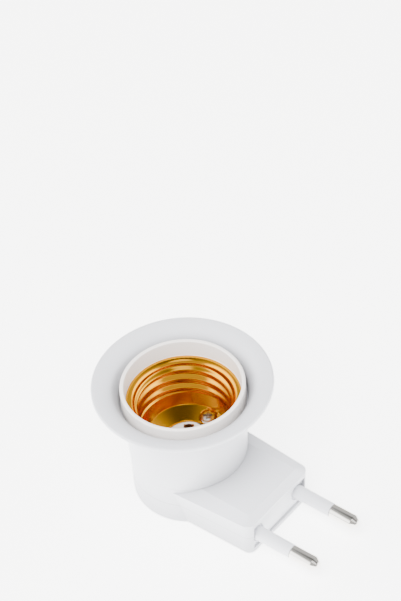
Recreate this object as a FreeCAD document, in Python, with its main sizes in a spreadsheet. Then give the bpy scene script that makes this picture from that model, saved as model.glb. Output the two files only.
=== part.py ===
import FreeCAD, Part
import math
import os
from types import SimpleNamespace

import Sketcher

# Plug-in lamp holder: a screw lamp socket standing on a flat two-pin plug.
# +Z is the socket's axis with its mouth up, +X is the way the pins point, and the origin
# lies on the socket's axis in the flat underside that the holder rests on. Millimetres.

doc = FreeCAD.newDocument("plug_in_lamp_holder")
sheet = doc.addObject("Spreadsheet::Sheet", "Dims")

DRIVING = [
    # body of the plug, with the round heel under the socket
    ("body_height", 13.5, "underside to the flat top that carries the cup"),
    ("split_height", 7.2, "parting plane of the cover and the housing"),
    ("body_wall", 1.5, "moulded side walls"),
    ("body_floor", 1.6, "floor of the cover"),
    ("body_plate", 1.5, "flat top plate of the housing"),
    ("heel_inset", 0.1, "round heel inside the foot of the cup"),
    ("heel_rounding", 1.3, "rounded lower edge of the heel"),
    ("plug_reach", 30.8, "socket axis to the end face at the shoulder"),
    ("plug_lean", 0.5, "how far the end face leans in at the underside"),
    ("shoulder_drop", 1.5, "height of the bevel round the flat top"),
    ("shoulder_half_end", 13.1, "half width of the shoulder at the end face"),
    ("shoulder_half_root", 15.1, "half width of the shoulder at the socket axis"),
    ("under_half_end", 12.7, "half width of the underside at the end face"),
    ("under_half_root", 13.2, "half width of the underside at the socket axis"),
    ("flat_half", 10.15, "half width of the flat top"),
    ("flat_inset", 2.2, "front edge of the flat top behind the end face"),
    ("corner_radius", 2.4, "upright corners beside the end face"),
    ("flat_corner", 0.9, "corners of the flat top"),
    ("under_rounding", 1.4, "rounded lower edge of the plug"),
    # outer cup
    ("cup_wall", 1.0, "wall of the cup at its foot"),
    ("cup_draft", 0.68, "how much wider the cup is under the flare"),
    ("barrel_clearance", 0.2, "room round the sleeve's barrel in the cup"),
    ("collar_clearance", 0.15, "room round the sleeve's collar in the cup"),
    ("collar_depth", 2.7, "wider bore under the ledge, which takes the collar"),
    ("ledge_clearance", 0.2, "room round the sleeve's shoulder on the ledge"),
    ("gutter_room", 0.42, "gutter between the sleeve and the flare"),
    ("gutter_foot", 0.44, "height over which the gutter widens from the ledge"),
    ("cup_ring", 1.2, "thickness of the ring at the cup's foot"),
    ("cup_ring_bore", 9.9, "opening of that ring"),
    ("rim_radius", 24.42, "outermost edge of the flared rim"),
    ("rim_height", 38.84, "top of the flared rim"),
    ("flare_wall", 1.2, "wall of the flare"),
    ("flare_radius", 6.4, "radius of the flare's curve, inside the gutter"),
    ("neck_round", 2.0, "hollow curve where the neck opens"),
    ("shoulder_round", 1.2, "round shoulder under the flare"),
    ("seam_chamfer", 0.15, "broken edge that draws the seam of cup and housing"),
    # insulating sleeve
    ("sleeve_edge", 0.3, "rounded top edge of the sleeve"),
    ("sleeve_recess", 0.79, "top of the sleeve under the rim"),
    ("sleeve_stand", 6.25, "top of the sleeve over the ledge that carries it"),
    ("sleeve_wall", 1.05, "upper wall of the sleeve"),
    ("collar_step", 0.55, "collar over the barrel, under the shoulder"),
    ("barrel_wall", 0.75, "wall of the lower barrel"),
    ("sleeve_floor", 1.5, "floor of the sleeve"),
    ("carrier_room", 0.3, "room round the carrier in the floor's opening"),
    # rolled screw shell with the E27 lamp thread
    ("shell_sheet", 0.4, "thickness of the sheet"),
    ("shell_clearance", 0.25, "room round the thread in the sleeve"),
    ("thread_major", 13.4, "radius of the thread's roots"),
    ("thread_depth", 0.85, "depth of the thread"),
    ("thread_pitch", 3.629, "lead of the single right-hand thread"),
    ("thread_runout", 1.0, "height over which the thread fades at each end"),
    ("thread_start", 169.0, "angle of the thread's root at its lower end"),
    ("taper_height", 5.4, "lower end of the thread over the sleeve's floor"),
    ("lip_depth", 5.05, "rolled lip under the top of the sleeve"),
    ("lip_bend", 1.5, "bend of the lip over the thread"),
    ("lip_flange", 0.7, "flat of the lip outside that bend"),
    ("lip_clearance", 0.15, "room between the lip and the sleeve's mouth"),
    ("ridge_inset", 1.35, "foot of the tapered wall inside the crests"),
    ("ridge_rise", 2.1, "height of that foot over the sleeve's floor"),
    ("floor_dish", 0.25, "shell's floor at its hole over the sleeve's floor"),
    ("lip_groove", 0.2, "room round the lip in the sleeve"),
    ("shell_hole", 6.7, "hole in the shell's sunk floor"),
    ("pad_radius", 2.0, "flat pads pressed into the floor under the screws"),
    # screws that hold the shell
    ("shell_screw_inset", 2.1, "shell screws from the edge of the shell's hole"),
    ("shell_screw_radius", 1.5, "shank of the shell screws"),
    ("shell_screw_head", 1.85, "head of the shell screws"),
    ("shell_screw_crown", 1.2, "height of that head"),
    ("shell_screw_length", 4.8, "length of that shank"),
    ("screw_clearance", 0.15, "room round a screw in a plain hole"),
    ("tapped_clearance", 0.03, "room round a screw in the hole that it bites"),
    ("nut_width", 5.2, "width of the terminal and nut plates"),
    ("nut_depth", 4.4, "depth of those plates"),
    ("nut_offset", 0.1, "middle of those plates outside the screws"),
    ("nut_thickness", 1.0, "thickness of those plates"),
    ("tab_thickness", 0.7, "terminal tabs that reach down to the leads"),
    ("tab_width", 3.0, "width of the tabs"),
    ("tab_grip", 1.0, "reach of the tabs under the leads"),
    # carrier, spring tongue and rivet
    ("carrier_radius", 7.3, "insulating carrier in the sleeve's floor"),
    ("carrier_flat", 6.4, "flats of the carrier beside the plates"),
    ("carrier_height", 2.2, "height of the carrier"),
    ("pocket_depth", 1.0, "pocket in the carrier that the strip bends into"),
    ("pocket_half", 1.9, "half width of that pocket"),
    ("pocket_end", 6.6, "end of that pocket from the rivet"),
    ("rivet_x", -2.4, "rivet of the centre contact"),
    ("rivet_y", 3.3, "rivet of the centre contact"),
    ("rivet_head", 1.1, "head of the rivet"),
    ("rivet_head_thickness", 0.5, "thickness of that head"),
    ("rivet_shank", 0.75, "shank of the rivet"),
    ("tongue_thickness", 0.4, "spring strip of the centre contact"),
    ("tongue_width", 2.8, "width of that strip"),
    ("tongue_gap", 0.3, "free room over and under the strip at the rivet"),
    ("tongue_root", 1.4, "strip behind the rivet"),
    ("tongue_bend", 1.7, "start of the rise from the rivet"),
    ("tongue_crest", 4.2, "crest of the strip from the rivet"),
    ("tongue_tip", 5.7, "end of the strip from the rivet"),
    ("tongue_rise", 1.3, "height of the crest over the root"),
    ("tongue_fall", 0.5, "how far the tip falls behind the crest"),
    ("plate_opening", 5.8, "opening in the housing's top plate"),
    ("window_room", 0.6, "room beside the plates in their two windows"),
    ("window_gap", 0.2, "room at the inner end of those windows"),
    # screws that hold the cup and the cover
    ("cup_screw_place", 12.2, "cup screws from the socket's axis"),
    ("wood_screw_radius", 1.25, "shank of the tapping screws"),
    ("wood_screw_head", 2.2, "head of the tapping screws"),
    ("wood_screw_crown", 1.5, "height of that head"),
    ("cup_screw_bite", 1.7, "reach of the cup screws into the sleeve"),
    ("cover_screw_rear", 7.9, "rear cover screws from the middle, both ways"),
    ("front_screw_gap", 4.5, "front cover screw behind the bridge"),
    ("cover_screw_seat", 2.2, "seat of the cover screws' heads"),
    ("tip_room", 0.8, "tips of the cover screws under the top plate"),
    ("boss_radius", 2.8, "screw bosses in the housing"),
    ("cover_boss_radius", 3.2, "screw bosses in the cover"),
    ("counterbore", 2.5, "counterbores in the underside"),
    # pins and the bridge that holds them
    ("pin_offset", 0.15, "axis of the pins under the middle of the end opening"),
    ("pin_half_pitch", 8.8, "axis of each pin from the middle"),
    ("pin_radius", 2.0, "bare metal of a pin"),
    ("pin_length", 19.5, "length of the pins beyond the end face"),
    ("pin_nose", 1.5, "rounded nose of a pin"),
    ("pin_metal", 8.8, "bare metal at the end of a pin"),
    ("pin_core", 1.4, "core of a pin inside its sleeve"),
    ("pin_sleeve_radius", 1.98, "outside of a pin's sleeve where it leaves the bridge"),
    ("pin_sleeve_draft", 0.06, "how much thinner the sleeve is at its end"),
    ("pin_sleeve_root", 2.25, "thicker root of the sleeve inside the bridge"),
    ("pin_clearance", 0.05, "room between a pin, its sleeve and the bridge"),
    ("pin_collar", 2.2, "collar behind the bridge"),
    ("pin_collar_length", 1.2, "length of that collar"),
    ("pin_tail", 1.2, "tail that takes the ferrule"),
    ("pin_tail_length", 4.3, "length of that tail"),
    ("bridge_recess", 1.05, "outer face of the bridge behind the end face"),
    ("end_wall", 2.3, "end wall, which the bridge's flange stands behind"),
    ("bridge_depth", 2.5, "depth of that flange"),
    ("bridge_seat", 1.1, "depth of the bridge behind the sleeves' ends"),
    ("window_frame_half", 11.1, "half width of the opening in the end face"),
    ("frame_sill", 0.7, "lower edge of that opening over the cover's floor"),
    ("frame_lintel", 0.4, "upper edge of that opening under the wide room's ceiling"),
    ("room_drop", 1.2, "ceiling of the wide room under the top plate"),
    ("frame_clearance", 0.1, "room between the bridge and that opening"),
    ("pin_well", 2.6, "shallow well round each pin"),
    ("pin_well_depth", 0.5, "depth of those wells"),
    # inner leads
    ("lead_radius", 0.9, "insulated lead"),
    ("lead_bend", 3.0, "bend of the leads"),
    ("lead_drop", 4.1, "leads under the flat top"),
    ("neutral_near", 6.5, "first bend of the neutral lead from its tab"),
    ("neutral_far", 12.0, "second bend of that lead"),
    ("live_side", 1.6, "first bend of the live lead inside the line of the screws"),
    ("live_near", 4.5, "second bend of the live lead from the tabs"),
    ("live_far", 11.0, "last bend of that lead"),
    ("ferrule_wall", 0.45, "wall of the ferrules"),
    ("ferrule_length", 4.0, "length of the ferrules"),
]


class Size:
    """A length that holds its value now and the sheet expression that keeps it."""

    def __init__(self, value, text):
        self.value = value
        self.text = text

    def __add__(self, other):
        other = as_size(other)
        return Size(self.value + other.value, f"({self.text} + {other.text})")

    def __sub__(self, other):
        other = as_size(other)
        return Size(self.value - other.value, f"({self.text} - {other.text})")

    def __mul__(self, other):
        other = as_size(other)
        return Size(self.value * other.value, f"({self.text} * {other.text})")

    def __truediv__(self, other):
        other = as_size(other)
        return Size(self.value / other.value, f"({self.text} / {other.text})")

    def __neg__(self):
        return as_size(0) - self

    def least(self, *others):
        """The smallest of several sizes."""
        sizes = [self] + [as_size(other) for other in others]
        text = "; ".join(size.text for size in sizes)
        return Size(min(size.value for size in sizes), f"min({text})")

    def root(self):
        return Size(math.sqrt(self.value), f"sqrt({self.text})")

    def cos(self):
        return Size(math.cos(math.radians(self.value)), f"cos({self.text})")

    def sin(self):
        return Size(math.sin(math.radians(self.value)), f"sin({self.text})")


def as_size(value):
    return value if isinstance(value, Size) else Size(float(value), repr(float(value)))


def fill_sheet():
    """Writes the driving dimensions and returns them as named sizes."""
    named = {}
    for row, (alias, value, note) in enumerate(DRIVING, start=1):
        sheet.set(f"A{row}", alias)
        sheet.set(f"B{row}", str(value))
        sheet.set(f"C{row}", note)
        sheet.setAlias(f"B{row}", alias)
        named[alias] = Size(float(value), f"Dims.{alias}")
    doc.recompute()
    return SimpleNamespace(**named)


def add_fits():
    """Adds the sizes that follow from the driving ones, so that what fits together keeps its clearance."""
    # from the lamp thread outwards
    d.thread_minor = d.thread_major - d.thread_depth
    d.sleeve_bore = d.thread_major + d.shell_sheet + d.shell_clearance
    d.sleeve_barrel = d.sleeve_bore + d.barrel_wall
    d.sleeve_collar = d.sleeve_barrel + d.collar_step
    d.cup_bore = d.sleeve_barrel + d.barrel_clearance
    d.cup_bore_upper = d.sleeve_collar + d.collar_clearance
    d.cup_root_radius = d.cup_bore + d.cup_wall
    d.cup_neck_radius = d.cup_root_radius + d.cup_draft
    d.heel_radius = d.cup_root_radius - d.heel_inset
    d.lip_radius = d.thread_major + d.lip_bend + d.lip_flange
    d.sleeve_mouth = d.lip_radius + d.lip_clearance
    d.sleeve_radius = d.sleeve_mouth + d.sleeve_wall
    d.cup_ledge_radius = d.sleeve_radius + d.ledge_clearance
    d.gutter_radius = d.sleeve_radius + d.gutter_room
    d.flare_edge = d.gutter_radius + d.flare_wall
    # from the rim downwards
    d.sleeve_height = d.rim_height - d.sleeve_recess
    d.cup_ledge_height = d.sleeve_height - d.sleeve_stand
    d.cup_bore_step = d.cup_ledge_height - d.collar_depth
    d.cup_neck_height = d.cup_ledge_height - (d.flare_edge - d.cup_neck_radius)
    d.lip_height = d.sleeve_height - d.lip_depth
    d.thread_head = d.lip_height - d.lip_bend
    # from the flat top of the plug, up and down
    d.ceiling = d.body_height - d.body_plate
    d.room_ceiling = d.ceiling - d.room_drop
    d.cup_floor = d.body_height + d.cup_ring
    d.sleeve_floor_top = d.cup_floor + d.sleeve_floor
    d.thread_foot = d.sleeve_floor_top + d.taper_height
    d.ridge_radius = d.thread_minor - d.ridge_inset
    d.ridge_height = d.sleeve_floor_top + d.ridge_rise
    d.shell_hole_height = d.sleeve_floor_top + d.floor_dish
    d.cup_screw_tip = d.cup_floor + d.cup_screw_bite
    d.cover_screw_tip = d.ceiling - d.tip_room
    d.carrier_top = d.body_height + d.carrier_height
    d.lead_height = d.body_height - d.lead_drop
    d.tab_foot = d.lead_height - d.tab_grip
    # from the screws of the shell and the carrier
    d.sleeve_opening = d.carrier_radius + d.carrier_room
    d.shell_screw_place = d.shell_hole + d.shell_screw_inset
    d.nut_inner = d.shell_screw_place + d.nut_offset - d.nut_depth / 2
    d.window_half = d.nut_width / 2 + d.window_room
    d.window_inner = d.nut_inner - d.window_gap
    d.window_outer = d.nut_inner + d.nut_depth + d.window_room + d.nut_offset
    # from the plug's end face, back and forth
    d.flat_reach = d.plug_reach - d.flat_inset
    d.bridge_face = d.plug_reach - d.bridge_recess
    d.bridge_flange_face = d.plug_reach - d.end_wall
    d.bridge_back = d.bridge_flange_face - d.bridge_depth
    d.cover_screw_front = d.bridge_back - d.front_screw_gap
    d.pin_tip = d.plug_reach + d.pin_length
    # the opening in the end face, with the pins' axis near its middle
    d.window_frame_low = d.body_floor + d.frame_sill
    d.window_frame_high = d.room_ceiling - d.frame_lintel
    d.pin_height = (d.window_frame_low + d.window_frame_high) / 2 - d.pin_offset
    # the flare's curve fills the room between the gutter and the rim, or less
    d.shoulder_reach = d.shoulder_round * BEND.sin() / BEND.cos()
    d.flare_curve = d.flare_radius.least(
        d.rim_radius - d.flare_wall / 2 - d.gutter_radius - 0.1,
        d.rim_height - d.cup_ledge_height - d.shoulder_reach - 0.1)

d = fill_sheet()
BEND = Size(22.5, "22.5")
add_fits()
ORIGIN = (-1, 1)


def bind(item, path, size):
    item.setExpression(path, as_size(size).text)


def move(item, x=0, y=0, z=0):
    for axis, size in (("x", x), ("y", y), ("z", z)):
        bind(item, f"Placement.Base.{axis}", size)


def cylinder(name, radius, height, x=0, y=0, z=0, turn=None):
    item = doc.addObject("Part::Cylinder", name)
    bind(item, "Radius", radius)
    bind(item, "Height", height)
    if turn:
        item.Placement = FreeCAD.Placement(FreeCAD.Vector(), turn)
    move(item, x, y, z)
    return item


def box(name, x, y, z):
    """A box between two values on each axis."""
    item = doc.addObject("Part::Box", name)
    for side, (low, high) in (("Length", x), ("Width", y), ("Height", z)):
        bind(item, side, as_size(high) - low)
    move(item, x[0], y[0], z[0])
    return item


def fused(name, shapes):
    item = doc.addObject("Part::MultiFuse", name)
    item.Shapes = shapes
    item.Refine = True
    return item


def cut(name, base, tools):
    item = doc.addObject("Part::Cut", name)
    item.Base = base
    item.Tool = tools[0] if len(tools) == 1 else fused(name + "_tools", tools)
    item.Refine = True
    return item


def common(name, first, second):
    item = doc.addObject("Part::Common", name)
    item.Base = first
    item.Tool = second
    item.Refine = True
    return item


def draw_arc(sketch, start, end, radius, turn):
    """An arc from start to end; turn is 1 anticlockwise, -1 clockwise. Returns its edge and end points."""
    chord = end - start
    side = FreeCAD.Vector(-chord.y, chord.x, 0).normalize() * turn
    rise = math.sqrt(max(radius ** 2 - (chord.Length / 2) ** 2, 0))
    centre = (start + end) * 0.5 + side * rise
    first, last = (start, end) if turn > 0 else (end, start)
    angles = [math.atan2((point - centre).y, (point - centre).x) for point in (first, last)]
    circle = Part.Circle(centre, FreeCAD.Vector(0, 0, 1), radius)
    edge = sketch.addGeometry(Part.ArcOfCircle(circle, angles[0], angles[1]), False)
    return (edge, 1, 2) if turn > 0 else (edge, 2, 1)


def pin_down(sketch, edge, point, axis, size):
    """Fixes one coordinate of a sketch point by the sheet; a sketch counts its own axes as -1 and -2."""
    if size.text == "0.0":
        sketch.addConstraint(Sketcher.Constraint("PointOnObject", edge, point, -2 if axis == "X" else -1))
        return
    if size.value < 0:
        index = sketch.addConstraint(Sketcher.Constraint("Distance" + axis, edge, point, *ORIGIN, -size.value))
        sketch.setExpression(f"Constraints[{index}]", (-size).text)
        return
    index = sketch.addConstraint(Sketcher.Constraint("Distance" + axis, *ORIGIN, edge, point, size.value))
    sketch.setExpression(f"Constraints[{index}]", size.text)


def outline(sketch, corners):
    """A closed outline. A corner is (x, y), or (x, y, radius, turn) when an arc leads to it."""
    corners = [tuple(as_size(value) for value in corner[:3]) + tuple(corner[3:]) for corner in corners]
    places = [FreeCAD.Vector(corner[0].value, corner[1].value, 0) for corner in corners]
    edges = []
    for index, start in enumerate(places):
        following = (index + 1) % len(corners)
        end = places[following]
        if len(corners[following]) == 4:
            radius, turn = corners[following][2:]
            edges.append(draw_arc(sketch, start, end, radius.value, turn))
            bound = sketch.addConstraint(Sketcher.Constraint("Radius", edges[-1][0], radius.value))
            sketch.setExpression(f"Constraints[{bound}]", radius.text)
        else:
            edges.append((sketch.addGeometry(Part.LineSegment(start, end), False), 1, 2))
    for index, (edge, start, end) in enumerate(edges):
        following = edges[(index + 1) % len(edges)]
        sketch.addConstraint(Sketcher.Constraint("Coincident", edge, end, following[0], following[1]))
        pin_down(sketch, edge, start, "X", corners[index][0])
        pin_down(sketch, edge, start, "Y", corners[index][1])


def body_sketch(body, name, role, corners, height=0):
    """A sketch on one of the body's own planes, raised by height."""
    sketch = body.newObject("Sketcher::SketchObject", name)
    plane = next(item for item in body.Origin.OriginFeatures if item.Role == role)
    sketch.AttachmentSupport = [(plane, "")]
    sketch.MapMode = "FlatFace"
    bind(sketch, "AttachmentOffset.Base.z", height)
    outline(sketch, corners)
    return sketch


def turned(name, corners):
    """A piece turned about its own Z axis from a half section of radius and height."""
    body = doc.addObject("PartDesign::Body", name)
    sketch = body_sketch(body, name + "_section", "XZ_Plane", corners)
    revolution = body.newObject("PartDesign::Revolution", name + "_turning")
    revolution.Profile = sketch
    revolution.ReferenceAxis = (sketch, ["V_Axis"])
    revolution.Angle = 360
    body.Tip = revolution
    return body


def padded(name, corners, low, high, role="XY_Plane"):
    """A plate of constant thickness over an outline."""
    body = doc.addObject("PartDesign::Body", name)
    sketch = body_sketch(body, name + "_outline", role, corners, low)
    pad = body.newObject("PartDesign::Pad", name + "_pad")
    pad.Profile = sketch
    bind(pad, "Length", as_size(high) - low)
    body.Tip = pad
    return body


ALONG_X = FreeCAD.Rotation(FreeCAD.Vector(0, 1, 0), 90)
nodes = []


def node(label, item):
    """Marks a finished sub-part; its label names its file."""
    item.Label = label
    nodes.append(item)
    return item


def trapezium(front, half_root, half_end, radius):
    """Outline of the plug seen from above: from the socket's axis to its end, with round front corners."""
    flare = half_root - half_end
    side = (front * front + flare * flare).root()
    reach = radius * (side - flare) / front
    back, out = reach * front / side, reach * flare / side
    return [(0, -half_root), (front - back, -(half_end + out)), (front, reach - half_end, radius, 1),
            (front, half_end - reach), (front - back, half_end + out, radius, 1), (0, half_root)]


def plug_block():
    """The plug's full outer form, before it is parted and hollowed."""
    body = doc.addObject("PartDesign::Body", "plug_form")
    shoulder = d.body_height - d.shoulder_drop
    under = trapezium(d.plug_reach - d.plug_lean, d.under_half_root, d.under_half_end, d.corner_radius)
    edge = trapezium(d.plug_reach, d.shoulder_half_root, d.shoulder_half_end, d.corner_radius)
    flat = trapezium(d.flat_reach, d.flat_half, d.flat_half, d.flat_corner)
    lower = body.newObject("PartDesign::AdditiveLoft", "plug_sides")
    lower.Profile = body_sketch(body, "under_outline", "XY_Plane", under)
    lower.Sections = [body_sketch(body, "shoulder_outline", "XY_Plane", edge, shoulder)]
    lower.Ruled = True
    upper = body.newObject("PartDesign::AdditiveLoft", "plug_bevel")
    upper.Profile = body_sketch(body, "bevel_foot", "XY_Plane", edge, shoulder)
    upper.Sections = [body_sketch(body, "flat_outline", "XY_Plane", flat, d.body_height)]
    upper.Ruled = True
    body.Tip = upper
    doc.recompute()
    rounded = doc.addObject("Part::Fillet", "plug_under_edge")
    rounded.Base = body
    radius = d.under_rounding.value
    rounded.Edges = [(index, radius, radius) for index, item in enumerate(body.Shape.Edges, start=1)
                     if item.BoundBox.ZMax < 0.01 < item.BoundBox.XMax]
    heel = turned("heel_form", [
        (0, 0), (d.heel_radius - d.heel_rounding, 0),
        (d.heel_radius, d.heel_rounding, d.heel_rounding, 1),
        (d.heel_radius, d.body_height), (0, d.body_height)])
    return fused("body_form", [rounded, heel])


def body_hollow():
    """Room inside the cover and the housing."""
    reach = d.plug_reach - d.body_wall
    lower = padded("plug_room", [
        (0, d.body_wall - d.under_half_root), (reach - d.plug_lean, d.body_wall - d.under_half_end),
        (reach - d.plug_lean, d.under_half_end - d.body_wall), (0, d.under_half_root - d.body_wall)],
        d.body_floor, d.room_ceiling)
    upper = box("plug_ceiling", (0, d.flat_reach - d.body_wall), (-d.flat_half, d.flat_half), (d.body_floor, d.ceiling))
    heel = cylinder("heel_room", d.heel_radius - d.body_wall, d.ceiling - d.body_floor, z=d.body_floor)
    return fused("body_room", [lower, upper, heel])


def end_opening(tag):
    """Opening in the end face for the bridge."""
    return box(f"end_opening_{tag}", (d.bridge_flange_face, d.plug_reach + 1),
               (-d.window_frame_half, d.window_frame_half), (d.window_frame_low, d.window_frame_high))


COVER_SCREWS = {
    "front": (d.cover_screw_front, as_size(0)),
    "left": (-d.cover_screw_rear, d.cover_screw_rear),
    "right": (-d.cover_screw_rear, -d.cover_screw_rear),
}
CUP_SCREWS = {"front": d.cup_screw_place, "rear": -d.cup_screw_place}
SHELL_SCREWS = {"left": d.shell_screw_place, "right": -d.shell_screw_place}


def build_cover(form, room):
    """Lower half of the plug's body, with counterbored bosses for three screws."""
    reach = d.plug_reach + d.heel_radius
    tray = common("cover_block", form, box("cover_slab", (-reach, reach), (-reach, reach), (-1, d.split_height)))
    hollow = cut("cover_tray", tray, [room])
    bosses = [cylinder(f"cover_boss_{tag}", d.cover_boss_radius, d.split_height, x, y)
              for tag, (x, y) in COVER_SCREWS.items()]
    solid = fused("cover_solid", [hollow, common("cover_bosses", fused("cover_boss_group", bosses), form)])
    holes = [end_opening("cover")]
    for tag, (x, y) in COVER_SCREWS.items():
        holes.append(cylinder(f"cover_hole_{tag}", d.wood_screw_radius + d.screw_clearance, d.split_height + 2, x, y, -1))
        holes.append(cylinder(f"cover_counterbore_{tag}", d.counterbore, d.cover_screw_seat + 1, x, y, -1))
    return node("bottom_cover", cut("bottom_cover", solid, holes))


def build_housing(form, room):
    """Upper half of the plug's body, with the flat top that carries the cup."""
    reach = d.plug_reach + d.heel_radius
    block = cut("housing_block", form, [box("housing_slab", (-reach, reach), (-reach, reach), (-1, d.split_height))])
    hollow = cut("housing_shell", block, [room])
    bosses = [cylinder(f"housing_boss_{tag}", d.boss_radius, d.ceiling - d.split_height + 0.2,
                       x, y, d.split_height) for tag, (x, y) in COVER_SCREWS.items()]
    solid = fused("housing_solid", [hollow] + bosses)
    holes = [end_opening("housing"), cylinder("plate_opening", d.plate_opening, d.body_plate + 2, z=d.ceiling - 1)]
    for tag, (x, y) in COVER_SCREWS.items():
        holes.append(cylinder(f"pilot_{tag}", d.wood_screw_radius + d.tapped_clearance,
                              d.cover_screw_tip - d.split_height + 1.3, x, y, d.split_height - 1))
    for tag, x in CUP_SCREWS.items():
        holes.append(cylinder(f"plate_hole_{tag}", d.wood_screw_radius + d.screw_clearance, d.body_plate + 2,
                              x, 0, d.ceiling - 1))
    for tag, (low, high) in (("left", (d.window_inner, d.window_outer)), ("right", (-d.window_outer, -d.window_inner))):
        holes.append(box(f"plate_window_{tag}", (-d.window_half, d.window_half), (low, high),
                         (d.ceiling - 1, d.body_height + 1)))
    return node("plug_housing", cut("plug_housing", solid, holes))


def build_cup():
    """Outer cup: a plain barrel that opens into the flared rim, with a ledge inside for the sleeve."""
    foot = d.body_height
    ring_top = d.cup_floor
    lip = d.flare_wall / 2
    middle = d.rim_radius - lip
    curve = d.flare_curve
    brim = d.gutter_radius + curve
    reach = d.neck_round * BEND.sin() / BEND.cos()
    shoulder = d.shoulder_reach
    half = as_size(0.5).root()
    form = turned("cup_form", [
        (d.cup_ring_bore, foot), (d.cup_ring_bore, ring_top), (d.cup_bore, ring_top), (d.cup_bore, d.cup_bore_step),
        (d.cup_bore_upper, d.cup_bore_step), (d.cup_bore_upper, d.cup_ledge_height),
        (d.cup_ledge_radius, d.cup_ledge_height), (d.gutter_radius, d.cup_ledge_height + d.gutter_foot),
        (d.gutter_radius, d.rim_height - curve), (brim, d.rim_height, curve, -1), (middle, d.rim_height),
        (d.rim_radius, d.rim_height - lip, lip, -1), (middle, d.rim_height - d.flare_wall, lip, -1),
        (brim, d.rim_height - d.flare_wall), (d.flare_edge, d.rim_height - curve, curve - d.flare_wall, 1),
        (d.flare_edge, d.cup_ledge_height + shoulder),
        (d.flare_edge - shoulder * half, d.cup_ledge_height - shoulder * half, d.shoulder_round, -1),
        (d.cup_neck_radius + reach * half, d.cup_neck_height + reach * half),
        (d.cup_neck_radius, d.cup_neck_height - reach, d.neck_round, 1),
        (d.cup_root_radius, foot + d.seam_chamfer), (d.cup_root_radius - d.seam_chamfer, foot)])
    holes = [box("cup_pocket", (-d.window_half, d.window_half), (-d.window_outer, d.window_outer), (foot - 1, ring_top + 0.001))]
    for tag, x in CUP_SCREWS.items():
        holes.append(cylinder(f"cup_hole_{tag}", d.wood_screw_radius + d.screw_clearance, d.cup_ring + 2, x, 0, foot - 1))
    return node("outer_cup", cut("outer_cup", form, holes))


def build_sleeve():
    """Insulating sleeve: its thin upper wall stands in the flare, its barrel and floor carry the screw shell."""
    floor = d.cup_floor
    seat = d.lip_height - d.shell_sheet
    bevel = d.thread_major + d.lip_bend + d.lip_clearance
    form = turned("sleeve_form", [
        (d.sleeve_opening, floor), (d.sleeve_barrel, floor), (d.sleeve_barrel, d.cup_bore_step - 0.1),
        (d.sleeve_collar, d.cup_bore_step + 0.4), (d.sleeve_collar, d.cup_ledge_height),
        (d.sleeve_radius, d.cup_ledge_height), (d.sleeve_radius, d.sleeve_height - d.sleeve_edge),
        (d.sleeve_radius - d.sleeve_edge, d.sleeve_height, d.sleeve_edge, 1),
        (d.sleeve_mouth + d.sleeve_edge, d.sleeve_height),
        (d.sleeve_mouth, d.sleeve_height - d.sleeve_edge, d.sleeve_edge, 1),
        (d.sleeve_mouth, d.lip_height + 0.1), (d.sleeve_mouth + d.lip_groove, d.lip_height + 0.1),
        (d.sleeve_mouth + d.lip_groove, seat), (bevel, seat), (d.sleeve_bore, seat - d.lip_bend),
        (d.sleeve_bore, d.sleeve_floor_top), (d.sleeve_opening, d.sleeve_floor_top)])
    holes = []
    for tag, y in SHELL_SCREWS.items():
        holes.append(cylinder(f"sleeve_hole_{tag}", d.shell_screw_radius + d.screw_clearance,
                              d.sleeve_floor_top - floor + 2, 0, y, floor - 1))
    for tag, x in CUP_SCREWS.items():
        holes.append(cylinder(f"sleeve_pilot_{tag}", d.wood_screw_radius + d.tapped_clearance,
                              d.cup_screw_tip - floor + 1.1, x, 0, floor - 1))
    return node("inner_sleeve", cut("inner_sleeve", form, holes))


THREAD_STEP = 30.0


def thread_form(name, extra):
    """The rolled thread: level rings whose centres climb a fine helix, lofted through."""
    depth = (d.thread_major - d.thread_minor) / 2
    turns = (d.thread_head - d.thread_foot) / d.thread_pitch
    count = math.ceil(turns.value * 360 / THREAD_STEP)
    rings = []
    for index in range(count + 1):
        share = index / count
        height = d.thread_foot + (d.thread_head - d.thread_foot) * share
        angle = d.thread_start + turns * (360 * share)
        from_end = min(height.value - d.thread_foot.value, d.thread_head.value - height.value)
        fade = min(from_end / d.thread_runout.value, 1.0)
        throw = depth * (math.sin(fade * math.pi / 2) ** 2)
        # the lower end fades to the crests' radius and the upper end to the roots', where the lip opens
        radius = d.thread_minor + throw if share < 0.5 else d.thread_major - throw
        ring = doc.addObject("Part::Circle", f"{name}_ring_{index:02d}")
        bind(ring, "Radius", radius + extra)
        move(ring, throw * angle.cos(), throw * angle.sin(), height)
        rings.append(ring)
    loft = doc.addObject("Part::Loft", name)
    loft.Sections = rings
    loft.Solid = True
    loft.Ruled = False
    return loft


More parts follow.
